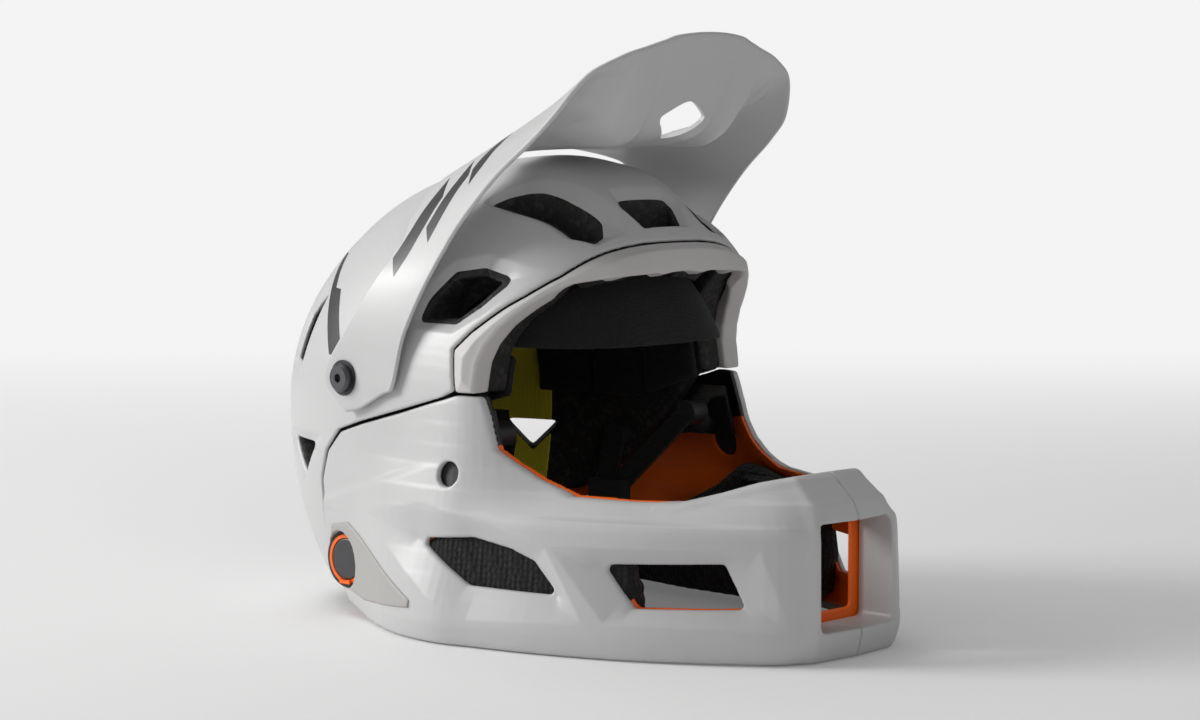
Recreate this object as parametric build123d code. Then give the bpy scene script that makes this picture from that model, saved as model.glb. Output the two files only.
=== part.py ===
"""Full-face downhill bicycle helmet with a removable chin bar and a raised visor.

The wearer looks along -Y, +X is the wearer's left and +Z is up. The origin is the middle of
the footprint: half way between the chin and the nape, on the mirror plane, on the floor.
Outlines are written as shares: x of half the chin bar's width, y of the overall length,
z of the shell's height. All other sizes are in millimetres.
"""
import os
from math import cos, hypot, pi, sin
from build123d import *

os.makedirs("parts", exist_ok=True)

# Overall sizes
length = 375
chin_width = 250
shell_width = 217
shell_height = 249

# Shell dome: a superellipsoid that tucks in towards the nape
equator_height = 112
dome_middle_share = 0.055
dome_front_reach = 114
plan_power_share = 2.75
rise_power_share = 1.93
nape_tuck_share = 0.196
nape_power_share = 2.31
crown_flat_share = 0.993
dome_points = 36

# Walls and clearances
shell_wall = 2.4
foam_wall = 27
rim_depth = 13
rim_stand = 2.6
chin_wall = 3.6
liner_wall = 2.4
slip_wall = 1
pad_thickness = 8
soft_gap = 0.4
seam_gap = 1.2
parting_gap = 0.2
running_gap = 0.05
free_gap = 0.6
overrun = 20

# Side recess under the chin bar's arms
recess_half_width = 89
dock_plate_wall = 2.5

# Visor and its pivots
visor_wall = 2.6
pivot_y_share = 0.201
pivot_z_share = 0.528
pivot_screw_radius = 2.5
pivot_head_radius = 7.5
pivot_head_height = 3.6
pivot_head_chamfer = 1.2
pivot_socket_radius = 2.6
pivot_socket_depth = 2.2
pivot_washer_radius = 9.5
pivot_washer_wall = 0.8
pivot_boss_radius = 9.5
insert_radius = 5
insert_length = 12

# Chin bar windows and the frame round the front window
front_window_width = 57
front_window_low = 15
front_window_high = 69
front_frame_wall = 3
front_frame_depth = 26
side_hole_radius = 6.5
side_hole_y_share = -0.012
side_hole_z_share = 0.348

# Release dials and latches
dial_y_share = 0.246
dial_z_share = 0.122
dial_face_share = 0.772
dial_radius = 11.5
dial_height = 7
dial_dome = 1.4
dial_ring_wall = 1.9
dial_ring_height = 4
dial_lug_width = 8
dial_lug_reach = 3
dial_well_floor = 1.6
dial_shaft_radius = 3.5
plate_stand = 1.1
latch_x_share = 0.56
latch_width = 9
latch_height = 6
latch_length = 26
latch_reach = 9
latch_wall = 2.2
latch_box_length = 15

# Fit system at the nape
cradle_wall = 2.4
cradle_half_width = 46
fit_dial_radius = 15
fit_dial_height = 8.5
fit_dial_y_share = 0.374
fit_dial_z_share = 0.262
fit_axle_radius = 3
fit_housing_width = 54
fit_housing_height = 36
fit_housing_depth = 9
fit_grip_count = 20
fit_grip_radius = 1.3
rail_width = 16
rail_wall = 3
rail_root = 6
rail_low_share = 0.345
rail_high_share = 0.5
runner_lip = 3
runner_low_share = 0.378
runner_high_share = 0.424

# Chin strap
web_width = 15
web_wall = 1.6
anchor_radius = 7
anchor_depth = 10
buckle_length = 20
buckle_width = 20
buckle_wall = 7
buckle_web_start = 11
prong_reach = 4
prong_width = 12
prong_wall = 3
divider_length = 26
divider_height = 18
divider_wall = 7
anchor_front_shares = (0.572, -0.015, 0.42)
anchor_rear_shares = (0.572, 0.132, 0.35)
divider_shares = (0.40, 0.09, 0.23)
buckle_shares = (0, 0.02, 0.085)

# Heights of the dome's level outlines, below and above the equator
dome_low_shares = (0, 0.2, 0.45, 0.7, 1)
dome_high_shares = (0.25, 0.45, 0.62, 0.76, 0.87, 0.94, 0.975, crown_flat_share)

half_width = chin_width / 2
dome_middle = dome_middle_share * length
dome_rear_reach = length / 2 - dome_middle
dome_rise = shell_height - equator_height

# Chin bar outline in plan, front middle to the end of an arm, at five heights
chin_levels_shares = [
    (0.040, [(0, -0.5), (0.256, -0.492), (0.432, -0.449), (0.704, -0.313), (0.872, -0.180),
             (0.960, -0.068), (1.000, 0.001), (0.960, 0.092), (0.816, 0.201), (0.704, 0.295)]),
    (0.265, [(0, -0.499), (0.248, -0.491), (0.416, -0.444), (0.672, -0.308), (0.832, -0.177),
             (0.908, -0.068), (0.944, 0.001), (0.924, 0.097), (0.848, 0.201), (0.796, 0.295)]),
    (0.317, [(0, -0.485), (0.224, -0.476), (0.360, -0.417), (0.568, -0.271), (0.704, -0.167),
             (0.864, -0.068), (0.920, 0.001), (0.904, 0.100), (0.856, 0.201), (0.808, 0.295)]),
    (0.369, [(0, -0.444), (0.200, -0.431), (0.304, -0.377), (0.496, -0.239), (0.656, -0.148),
             (0.840, -0.063), (0.896, 0.001), (0.876, 0.103), (0.852, 0.201), (0.816, 0.295)]),
    (0.530, [(0, -0.385), (0.160, -0.372), (0.256, -0.319), (0.432, -0.199), (0.608, -0.119),
             (0.800, -0.047), (0.848, 0.012), (0.850, 0.103), (0.844, 0.201), (0.824, 0.295)]),
]
chin_hem_share = 0.018
chin_hem = chin_hem_share * length / 2

# Side-view outlines, as (y, z) shares
eye_port_lip_shares = [
    (-0.443, 0.369), (-0.399, 0.353), (-0.364, 0.333), (-0.321, 0.313), (-0.260, 0.311),
    (-0.180, 0.315), (-0.132, 0.343), (-0.100, 0.371), (-0.073, 0.402), (-0.057, 0.474),
    (-0.047, 0.514)]
arm_seam_shares = [(-0.009, 0.514), (0.015, 0.498), (0.095, 0.465), (0.188, 0.428),
                   (0.236, 0.406), (0.268, 0.361), (0.287, 0.297), (0.295, 0.181),
                   (0.281, 0.080), (0.247, 0.028), (0.175, 0)]
rim_seam_shares = [(-0.212, 0.859), (-0.164, 0.831), (-0.145, 0.803), (-0.123, 0.759),
                   (-0.091, 0.719), (-0.068, 0.696), (-0.021, 0.641), (0.004, 0.604),
                   (-0.004, 0.542), (-0.009, 0.514)]
rim_lip_shares = [(-0.180, 0.755), (-0.137, 0.739), (-0.116, 0.719), (-0.092, 0.687),
                  (-0.068, 0.651), (-0.052, 0.614), (-0.044, 0.578), (-0.043, 0.514)]
foam_hem_shares = [(-0.009, 0.514), (0.055, 0.400), (0.135, 0.290), (0.240, 0.210),
                   (0.302, 0.190), (0.302, 0.060), (0.42, 0.028)]
foam_lip_shares = [(-0.172, 0.770), (-0.128, 0.756), (-0.104, 0.732), (-0.080, 0.700),
                   (-0.056, 0.664), (-0.041, 0.626), (-0.034, 0.590), (-0.034, 0.514)]
dock_plate_shares = [(-0.045, 0.478), (0.005, 0.478), (0.095, 0.435), (0.188, 0.400),
                     (0.225, 0.380), (0.262, 0.300), (0.262, 0.225), (0.180, 0.262),
                     (0.090, 0.350), (0.020, 0.365), (-0.066, 0.368)]
slip_shares = [(0.10, 0.47), (0.27, 0.47), (0.27, 0.215), (0.42, 0.215), (0.42, 0.80),
               (0.10, 0.80)]
brow_pad_shares = [(-0.25, 0.60), (-0.02, 0.60), (-0.05, 0.70), (-0.12, 0.78), (-0.25, 0.78)]
crown_pad_shares = [(-0.06, 0.83), (0.17, 0.83), (0.17, 0.95), (-0.06, 0.95)]
side_pad_shares = [(-0.03, 0.50), (0.10, 0.44), (0.285, 0.44), (0.285, 0.74), (0.0, 0.74),
                   (-0.008, 0.60), (-0.03, 0.58)]
rear_pad_shares = [(0.28, 0.51), (0.44, 0.51), (0.44, 0.74), (0.28, 0.74)]
cradle_shares = [(0.16, 0.19), (0.44, 0.19), (0.44, 0.40), (0.25, 0.40), (0.16, 0.30)]
cheek_pad_shares = [(0.175, 0.165), (0.09, 0.225), (0.02, 0.315), (-0.06, 0.345), (-0.15, 0.27),
                    (-0.24, 0.255), (-0.265, 0.15), (-0.22, 0.05), (-0.02, 0.035), (0.11, 0.035)]
pad_split_share = 0.34
cheek_pad_share = 0.56

# Windows in the side view of the chin bar, as (y, z) shares
rear_window_shares = [(0.038, 0.209), (-0.057, 0.222), (-0.155, 0.185), (-0.192, 0.121),
                      (-0.055, 0.125)]
front_window_shares = [(-0.249, 0.188), (-0.393, 0.197), (-0.419, 0.109), (-0.291, 0.104)]
wing_plate_shares = [(0.285, 0.155), (0.270, 0.198), (0.220, 0.211), (0.034, 0.083),
                     (0.036, 0.066), (0.180, 0.048), (0.255, 0.060)]

# Shell vents: (x, y, z) shares of a middle and of a size, and turns in degrees about X, Y, Z
brow_vent_shares = [(0, -0.135, 0.875), (0.256, 0.060, 0.220)]
brow_vent_pitch = 58
fore_vent_shares = [(0.395, -0.080, 0.885), (0.235, 0.185, 0.240)]
fore_vent_pitch = 38
fore_vent_roll = 24
fore_vent_yaw = 14
temple_vent_shares = [(0.077, 0.656), (0.072, 0.688), (0.036, 0.753), (-0.011, 0.761),
                      (-0.064, 0.749), (-0.024, 0.698), (0.014, 0.658)]
rear_slot_shares = [(0.335, 0.690), (0.375, 0.640), (0.395, 0.545), (0.372, 0.540)]
low_slot_shares = [(0.375, 0.400), (0.392, 0.380), (0.375, 0.280), (0.350, 0.285)]
low_slot_turn = 38
low_slot_mouth_shares = (0.720, 0.371)
vent_start = shell_width / 5

# Visor band: front edge and rear edge from an arm's end to the mirror plane, (x, y, z) shares
visor_front_shares = [
    (0.896, 0.172, 0.466), (0.896, 0.124, 0.502), (0.896, 0.103, 0.520), (0.880, 0.087, 0.622),
    (0.852, 0.060, 0.715), (0.824, 0.028, 0.799), (0.804, -0.009, 0.876), (0.780, -0.068, 0.968),
    (0.756, -0.124, 1.036), (0.728, -0.159, 1.088), (0.636, -0.189, 1.166), (0.480, -0.207, 1.214),
    (0.320, -0.217, 1.238), (0.160, -0.227, 1.253), (0, -0.231, 1.258)]
visor_rear_shares = [
    (0.896, 0.199, 0.458), (0.896, 0.239, 0.510), (0.896, 0.236, 0.554), (0.880, 0.193, 0.647),
    (0.840, 0.156, 0.737), (0.780, 0.137, 0.795), (0.752, 0.127, 0.827), (0.704, 0.127, 0.871),
    (0.640, 0.119, 0.916), (0.576, 0.103, 0.955), (0.480, 0.085, 0.985), (0.368, 0.081, 1.002),
    (0.248, 0.081, 1.014), (0.120, 0.081, 1.023), (0, 0.081, 1.026)]
visor_rows_share = (0, 0.2, 0.4, 0.6, 0.76, 0.86, 0.94, 1)
visor_sag_shares = (0, -0.045, -0.088, -0.125, -0.140, -0.095, -0.045, 0)
visor_dish_shares = (0, 0, 0, 0, 0, 0, 0, 0, 0, 0, 0.08, 0.4, 0.8, 1, 1)
visor_window_row = 4


def spot(x_share, y_share, z_share):
    """A point from its three shares."""
    return Vector(x_share * half_width, y_share * length, z_share * shell_height)


def side_points(shares):
    """Side-view shares as (y, z) pairs in millimetres."""
    return [(y * length, z * shell_height) for y, z in shares]


def side_prism(points, reach=None):
    """A prism across the helmet from a closed side-view outline."""
    half = reach or half_width + overrun
    face = make_face(Plane.YZ * Polyline(*points, close=True))
    return extrude(face, amount=half, both=True)


def half_prism(points, side, inner=0):
    """The part of a side-view prism beyond a distance from the mirror plane, on one side."""
    face = make_face(Plane.YZ * Polyline(*points, close=True))
    far = half_width + overrun
    return Pos(side * inner, 0, 0) * extrude(face, amount=far - inner, dir=(side, 0, 0))


def dome_scale(height, rise):
    """Share of its widest plan that the dome has at a height."""
    above = height - equator_height
    if above > 0:
        return (1 - (above / rise) ** rise_power_share) ** (1 / rise_power_share)
    return 1 - nape_tuck_share * (-above / equator_height) ** nape_power_share


def dome_wire(height, inset):
    """One level outline of the dome, drawn in by an inset."""
    scale = dome_scale(height, dome_rise - inset)
    wide = (shell_width / 2 - inset) * scale
    points = []
    for step in range(dome_points):
        turn = 2 * pi * step / dome_points
        deep = (dome_rear_reach if sin(turn) > 0 else dome_front_reach) - inset
        ray = (abs(cos(turn) / wide) ** plan_power_share
               + abs(sin(turn) / (deep * scale)) ** plan_power_share) ** (-1 / plan_power_share)
        points.append((ray * cos(turn), dome_middle + ray * sin(turn), height))
    return Wire(Edge.make_spline([Vector(*point) for point in points], periodic=True))


def dome(inset=0):
    """The solid dome, drawn in by an inset."""
    rise = dome_rise - inset
    heights = [equator_height * share for share in dome_low_shares]
    heights += [equator_height + rise * share for share in dome_high_shares]
    return Solid.make_loft([dome_wire(height, inset) for height in heights])


def chin_outline(stations, inset):
    """Half of a chin outline in plan, drawn in along its own normals and run on past its end."""
    points = [(x * half_width, y * length) for x, y in stations]
    moved = []
    for index, (x, y) in enumerate(points):
        before = points[index - 1] if index else (-points[1][0], points[1][1])
        after = points[min(index + 1, len(points) - 1)]
        run = (after[0] - before[0], after[1] - before[1])
        size = hypot(*run)
        moved.append((x - inset * run[1] / size, y + inset * run[0] / size))
    (x, y), (last_x, last_y) = moved[-2:]
    size = hypot(last_x - x, last_y - y)
    moved.append((last_x + overrun * (last_x - x) / size, last_y + overrun * (last_y - y) / size))
    return moved


def chin_wire(level, inset):
    """One closed level outline of the chin bar, across the mirror plane."""
    height_share, stations = level
    half = chin_outline(stations, inset)
    height = height_share * shell_height
    points = [(-x, y, height) for x, y in reversed(half[1:])] + [(x, y, height) for x, y in half]
    curve = Edge.make_spline([Vector(*point) for point in points])
    back = Edge.make_line(curve @ 1, curve @ 0)
    return Wire([curve, back])


def chin_body(inset=0, floor=0):
    """The chin bar's solid outside, drawn in by an inset, from a floor height up."""
    low = chin_wire(chin_levels_shares[0], inset + chin_hem).moved(
        Location((0, 0, floor - chin_levels_shares[0][0] * shell_height)))
    wires = [low] + [chin_wire(level, inset) for level in chin_levels_shares]
    return Solid.make_loft(wires, ruled=True)


def box_between(low, high):
    """A block from its lowest to its highest corner."""
    size = [b - a for a, b in zip(low, high)]
    middle = [(a + b) / 2 for a, b in zip(low, high)]
    return Pos(*middle) * Box(*size)


def cross_rod(radius, y, z, start, end):
    """A round rod along X from one x to another."""
    plane = Plane(origin=(min(start, end), y, z), z_dir=(1, 0, 0))
    return plane * Cylinder(radius, abs(end - start), align=(Align.CENTER, Align.CENTER, Align.MIN))


def strip(start, end, wide, wall, across):
    """A flat strap or bar between two points; across points along its width."""
    run = end - start
    plane = Plane(origin=start, x_dir=across, z_dir=run)
    return plane * Box(wide, wall, run.length, align=(Align.CENTER, Align.CENTER, Align.MIN))


def biggest(shape):
    """The largest solid of a shape, without slivers that a cut left."""
    return max(shape.solids(), key=lambda solid: solid.volume)


def save(name, shape):
    """Write one piece, or one group of like pieces, under its node's name."""
    solids = shape.solids()
    whole = solids[0] if len(solids) == 1 else Compound(solids)
    export_step(whole, f"parts/{name}.step")


def mirror_pair(name, make):
    """Write a left and a right piece; make takes the side, +1 for the wearer's left."""
    save(f"{name}_left", make(1))
    save(f"{name}_right", make(-1))


# Side-view regions that several pieces share
seam_line = side_points(rim_seam_shares)
hem_line = side_points(foam_hem_shares)
arm_line = side_points(arm_seam_shares)
far_rear = length / 2 + overrun
far_front = -far_rear
far_top = shell_height + overrun
helmet_side = seam_line + arm_line[1:8] + [
    (arm_line[7][0], hem_line[-2][1]), hem_line[-1], (far_rear, hem_line[-1][1]),
    (far_rear, far_top), (far_front, far_top), (far_front, seam_line[0][1])]
foam_side = seam_line + hem_line[1:] + [
    (far_rear, hem_line[-1][1]), (far_rear, far_top), (far_front, far_top),
    (far_front, seam_line[0][1])]


def vent_cutters():
    """Prisms that open the vents through the shell and the foam."""
    cutters = []
    (x, y, z), (wide, deep, tall) = brow_vent_shares
    size = spot(wide, deep, tall)
    brow = Rot(X=brow_vent_pitch) * Box(size.X, size.Y, size.Z)
    cutters.append(Pos(*spot(x, y, z)) * brow)
    (x, y, z), (wide, deep, tall) = fore_vent_shares
    size = spot(wide, deep, tall)
    for side in (1, -1):
        fore = Rot(X=fore_vent_pitch) * Rot(Y=side * fore_vent_roll) * Box(size.X, size.Y, size.Z)
        cutters.append(Pos(*spot(side * x, y, z)) * Rot(Z=-side * fore_vent_yaw) * fore)
    for shares in (temple_vent_shares, rear_slot_shares):
        for side in (1, -1):
            cutters.append(half_prism(side_points(shares), side, vent_start))
    for side in (1, -1):
        x, y = low_slot_mouth_shares
        mouth = Pos(*spot(side * x, y, 0))
        slot = half_prism(side_points(low_slot_shares), side, vent_start)
        cutters.append(mouth * Rot(Z=side * low_slot_turn) * mouth.inverse() * slot)
    return cutters


outer = dome()
foam_face = dome(shell_wall + soft_gap / 2)
cavity = dome(foam_wall + shell_wall)
vents = vent_cutters()
recess = side_prism([(arm_line[0][0] - overrun, arm_line[0][1] + seam_gap)]
                    + [(y, z + seam_gap) for y, z in arm_line[:5]]
                    + [(y + seam_gap, z) for y, z in arm_line[5:8]]
                    + [(arm_line[7][0] + seam_gap, 0), (arm_line[0][0] - overrun, 0)])
recess -= side_prism([(far_front, -overrun), (far_rear, -overrun), (far_rear, far_top),
                      (far_front, far_top)], recess_half_width)


def outer_shell():
    """The hard skin over the foam, from the brow seam to the nape."""
    shell = outer - dome(shell_wall)
    shell &= side_prism(helmet_side)
    shell -= recess
    for cutter in vents:
        shell -= cutter
    return biggest(shell)


def foam_core():
    """The energy-absorbing foam between the shell and the head."""
    core = foam_face & side_prism(foam_side)
    behind_rim = [(y + free_gap, z + free_gap) for y, z in seam_line]
    core += dome(rim_depth + soft_gap) & side_prism(
        behind_rim + side_points(foam_lip_shares)[::-1])
    core -= cavity
    core -= recess
    for cutter in vents:
        core -= cutter
    return biggest(core)


def brow_rim():
    """The rounded frame over the eye port, from one cheek seam over the brow to the other."""
    band = [(y - free_gap, z - free_gap) for y, z in seam_line]
    band += side_points(rim_lip_shares)[::-1]
    ring = dome(-rim_stand) & side_prism(band)
    ring -= dome(rim_depth)
    return biggest(ring)


def layer(start, thickness):
    """A skin of the head cavity, starting an inset deeper than the foam's inner face."""
    base = foam_wall + shell_wall + start
    return dome(base) - dome(base + thickness)


# Pockets in the foam for the rail and for the strap's anchors
cavity_rear = dome_middle + dome_rear_reach - foam_wall - shell_wall
rail_low = rail_low_share * shell_height
rail_high = rail_high_share * shell_height
rail_face = cavity_rear - soft_gap - slip_wall - free_gap - rail_wall
rail_pocket = box_between(
    (-rail_width / 2 - running_gap, rail_face, rail_low - running_gap),
    (rail_width / 2 + running_gap, rail_face + rail_wall + rail_root + running_gap,
     rail_high + running_gap))
anchor_spots = [spot(side * x, y, z) for side in (1, -1)
                for x, y, z in (anchor_front_shares, anchor_rear_shares)]


def anchor_rod(point, margin=0):
    """The round anchor of one web, from the web out into the foam."""
    side = 1 if point.X > 0 else -1
    return cross_rod(anchor_radius + margin, point.Y, point.Z, point.X - side * web_wall,
                     point.X + side * (anchor_depth + margin))


anchor_bores = [anchor_rod(point, running_gap) for point in anchor_spots]

# Helmet body
helmet_shell = outer_shell()
pivot = spot(0, pivot_y_share, pivot_z_share)
arm_outside = visor_front_shares[0][0] * half_width
arm_inside = arm_outside - visor_wall
insert_start = shell_width / 2 - shell_wall - insert_length
insert_end = shell_width / 2 - shell_wall - soft_gap
insert_bores = [cross_rod(insert_radius + running_gap, pivot.Y, pivot.Z, side * insert_start,
                          side * arm_inside) for side in (1, -1)]
foam = foam_core() - rail_pocket
for bore in anchor_bores:
    foam -= bore
for bore in insert_bores:
    foam -= bore
    helmet_shell -= bore


def pivot_insert(side):
    """The threaded insert in the foam that takes a visor screw."""
    body = cross_rod(insert_radius, pivot.Y, pivot.Z, side * insert_start, side * insert_end)
    return body - cross_rod(pivot_screw_radius + running_gap, pivot.Y, pivot.Z,
                            side * insert_start, side * insert_end)


def pivot_boss(side):
    """The low pad on the shell that the visor arm turns against."""
    body = cross_rod(pivot_boss_radius, pivot.Y, pivot.Z, side * (insert_end + soft_gap),
                     side * (arm_inside - free_gap))
    body -= outer
    return body - cross_rod(pivot_screw_radius + running_gap, pivot.Y, pivot.Z,
                            side * insert_end, side * arm_inside)


def pivot_washer(side):
    """The thin washer between a visor arm and its screw head."""
    start = arm_outside + running_gap
    body = cross_rod(pivot_washer_radius, pivot.Y, pivot.Z, side * start,
                     side * (start + pivot_washer_wall))
    return body - cross_rod(pivot_screw_radius + running_gap, pivot.Y, pivot.Z,
                            side * arm_inside, side * (start + pivot_washer_wall + overrun))


def pivot_screw(side):
    """The visor's domed screw with a hexagon socket."""
    seat = arm_outside + 2 * running_gap + pivot_washer_wall
    end = seat + pivot_head_height
    shank = cross_rod(pivot_screw_radius, pivot.Y, pivot.Z, side * insert_start, side * seat)
    head = cross_rod(pivot_head_radius, pivot.Y, pivot.Z, side * seat, side * end)
    rim = head.edges().filter_by(GeomType.CIRCLE).sort_by(Axis.X)[-1 if side > 0 else 0]
    head = chamfer(rim, pivot_head_chamfer)
    plane = Plane(origin=(side * end, pivot.Y, pivot.Z), z_dir=(-side, 0, 0))
    socket = extrude(plane * RegularPolygon(pivot_socket_radius, 6), amount=pivot_socket_depth)
    return shank + head - socket


def dock_plate(side):
    """The hard plate in the shell's side recess that the chin bar's arm slides over."""
    plate = half_prism(side_points(dock_plate_shares), side, recess_half_width + soft_gap)
    limit = recess_half_width + soft_gap + dock_plate_wall
    return plate & side_prism([(far_front, 0), (far_rear, 0), (far_rear, far_top),
                               (far_front, far_top)], limit)


def slip_liner():
    """The thin yellow slip layer that lines the foam behind the temples."""
    skin = layer(soft_gap, slip_wall) & side_prism(side_points(slip_shares))
    for cutter in [rail_pocket] + anchor_bores:
        skin -= cutter
    return biggest(skin)


foam_pads = layer(soft_gap, pad_thickness)
liner_pads = layer(2 * soft_gap + slip_wall, pad_thickness)


def pad_piece(bed, outline, low, high):
    """A comfort pad: the part of a pad layer inside a side outline and an x band."""
    block = box_between((low, far_front, 0), (high, far_rear, far_top))
    return biggest(bed & side_prism(side_points(outline)) & block)


# Fit system: a rail in the foam, a cradle that slides on it, and the cradle's dial
fit_axis = spot(0, fit_dial_y_share, fit_dial_z_share)


def fit_rail():
    """The upright rail behind the head that the cradle slides on."""
    return box_between((-rail_width / 2, rail_face, rail_low),
                       (rail_width / 2, rail_face + rail_wall + rail_root, rail_high))


def fit_cradle():
    """The curved cradle that holds the back of the head, with its runner on the rail."""
    inset = cavity_rear - fit_axis.Y + free_gap
    band = biggest(layer(inset, cradle_wall)
                   & side_prism(side_points(cradle_shares), cradle_half_width))
    inner = fit_axis.Y - fit_housing_depth
    low = runner_low_share * shell_height
    high = runner_high_share * shell_height
    half = rail_width / 2 + runner_lip
    runner = box_between((-half, inner, low), (half, rail_face + rail_wall / 2, high))
    runner -= box_between((-rail_width / 2 - running_gap, rail_face - running_gap, rail_low),
                          (rail_width / 2 + running_gap, cavity_rear, rail_high))
    neck = box_between((-rail_width / 2, inner, fit_axis.Z),
                       (rail_width / 2, fit_axis.Y - running_gap, high))
    housing = box_between((-fit_housing_width / 2, inner, fit_axis.Z - fit_housing_height / 2),
                          (fit_housing_width / 2, fit_axis.Y - running_gap,
                           fit_axis.Z + fit_housing_height / 2))
    body = band + neck + runner + housing
    plane = Plane(origin=(0, inner - overrun, fit_axis.Z), z_dir=(0, 1, 0))
    axle = plane * Cylinder(fit_axle_radius + running_gap, 2 * overrun,
                            align=(Align.CENTER, Align.CENTER, Align.MIN))
    return biggest(body - axle)


def fit_dial():
    """The knurled dial that draws the cradle in, with its axle."""
    plane = Plane(origin=(0, fit_axis.Y, fit_axis.Z), z_dir=(0, 1, 0))
    bottom = (Align.CENTER, Align.CENTER, Align.MIN)
    top = (Align.CENTER, Align.CENTER, Align.MAX)
    knob = plane * Cylinder(fit_dial_radius, fit_dial_height, align=bottom)
    for step in range(fit_grip_count):
        turn = 360 * step / fit_grip_count
        grip = Rot(Z=turn) * Pos(fit_dial_radius, 0, 0)
        knob -= plane * grip * Cylinder(fit_grip_radius, 2 * overrun)
    return knob + plane * Cylinder(fit_axle_radius, fit_housing_depth - free_gap, align=top)


# Visor
def visor_station(index):
    """One line across the visor band, rear edge to front edge; 0 is the mirror plane."""
    last = len(visor_front_shares) - 1
    side = 1 if index >= 0 else -1
    rank = last - abs(index)
    front = spot(*visor_front_shares[rank])
    rear = spot(*visor_rear_shares[rank])
    dish = visor_dish_shares[rank] * shell_height
    line = []
    for row, sag in zip(visor_rows_share, visor_sag_shares):
        point = rear + (front - rear) * row + Vector(0, 0, dish * sag)
        line.append(Vector(side * point.X, point.Y, point.Z))
    return line


def sheet_solid(grid, wall, gaps):
    """A closed sheet of even wall under a grid of points, open where cells are gaps."""
    rows, columns = len(grid), len(grid[0])

    def normal(row, column):
        along = grid[min(row + 1, rows - 1)][column] - grid[max(row - 1, 0)][column]
        across = grid[row][min(column + 1, columns - 1)] - grid[row][max(column - 1, 0)]
        return along.cross(across).normalized()

    under = [[grid[row][column] + normal(row, column) * wall for column in range(columns)]
             for row in range(rows)]
    faces = []

    def quad(first, second, third, fourth):
        faces.append(Face(Wire.make_polygon([first, second, third])))
        faces.append(Face(Wire.make_polygon([first, third, fourth])))

    cells = {(row, column) for row in range(rows - 1) for column in range(columns - 1)}
    cells -= set(gaps)
    for row, column in sorted(cells):
        ring = [(row, column), (row + 1, column), (row + 1, column + 1), (row, column + 1)]
        quad(*[grid[a][b] for a, b in ring])
        quad(*[under[a][b] for a, b in reversed(ring)])
        beside = [(row, column - 1), (row + 1, column), (row, column + 1), (row - 1, column)]
        for step, cell in enumerate(beside):
            if cell not in cells:
                (a, b), (c, d) = ring[step], ring[(step + 1) % 4]
                quad(grid[a][b], under[a][b], under[c][d], grid[c][d])
    return Solid(Shell(faces))


def visor():
    """The visor: two arms, raised sides and a dished middle with one window."""
    last = len(visor_front_shares) - 1
    grid = [visor_station(index) for index in range(-last, last + 1)]
    window = [(last - 1, visor_window_row), (last, visor_window_row)]
    body = sheet_solid(grid, visor_wall, window)
    bore = cross_rod(pivot_screw_radius + running_gap, pivot.Y, pivot.Z,
                     -half_width, half_width)
    return body - bore


# Chin bar
chin_side = [(far_front, eye_port_lip_shares[0][1] * shell_height)]
chin_side += side_points(eye_port_lip_shares)[:-1]
chin_side += [(y, z - seam_gap) for y, z in side_points([eye_port_lip_shares[-1],
                                                         arm_seam_shares[0]])]
chin_side += arm_line[1:] + [(arm_line[-1][0], -overrun), (far_front, -overrun)]
chin_region = side_prism(chin_side)
chin_front = -length / 2
front_window = box_between(
    (-front_window_width / 2, chin_front - overrun, front_window_low),
    (front_window_width / 2, chin_front + front_frame_depth + overrun, front_window_high))
frame_back = chin_front + front_frame_depth
front_frame = box_between(
    (-front_window_width / 2 - front_frame_wall, chin_front + chin_wall / 2,
     front_window_low - front_frame_wall),
    (front_window_width / 2 + front_frame_wall, frame_back,
     front_window_high + front_frame_wall))
dial_spot = spot(0, dial_y_share, dial_z_share)
dial_face = dial_face_share * half_width
well_radius = dial_radius + dial_ring_wall + free_gap
well_floor = dial_face - dial_height - free_gap
cup_radius = well_radius + dial_well_floor
side_hole = spot(0, side_hole_y_share, side_hole_z_share)


def side_windows(margin=0):
    """Prisms of the four side windows and the two round holes, less a margin."""
    cutters = []
    for shares in (rear_window_shares, front_window_shares):
        outline = make_face(Polyline(*side_points(shares), close=True))
        if margin:
            outline = offset(outline, amount=-margin, kind=Kind.INTERSECTION)
        prism = extrude(Plane.YZ * outline, amount=half_width + overrun, both=True)
        cutters.append(prism)
    cutters.append(cross_rod(side_hole_radius - margin, side_hole.Y, side_hole.Z,
                             -half_width - overrun, half_width + overrun))
    return cutters


def chin_shell():
    """The hard outside of the chin bar before it is split into its two halves."""
    body = chin_body() - chin_body(chin_wall, -overrun)
    body &= chin_region
    body += front_frame & chin_body(chin_wall / 2)
    for cutter in side_windows():
        body -= cutter
    body -= front_window
    for side in (1, -1):
        body -= cross_rod(cup_radius + running_gap, dial_spot.Y, dial_spot.Z,
                          side * recess_half_width / 2, side * half_width)
    return body


def chin_half(whole, side):
    """One half of the chin bar's shell, beyond the fine parting line in the middle."""
    near, far = sorted((side * parting_gap / 2, side * half_width))
    block = box_between((near, far_front, -overrun), (far, far_rear, far_top))
    return biggest(whole & block)


liner_start = chin_wall + soft_gap
liner_front = frame_back + soft_gap
liner_floor = chin_levels_shares[0][0] * shell_height / 2
liner_body = chin_body(liner_start, -overrun) & chin_region


def vent_frame():
    """The flat orange frame that closes the chin bar's lining behind the front window."""
    margin = 2 * liner_wall
    body = liner_body & box_between((-half_width, liner_front, liner_floor),
                                    (half_width, liner_front + liner_wall, far_top))
    return biggest(body - box_between(
        (-front_window_width / 2 + margin, chin_front, front_window_low + margin),
        (front_window_width / 2 - margin, far_rear, front_window_high - margin)))


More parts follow.
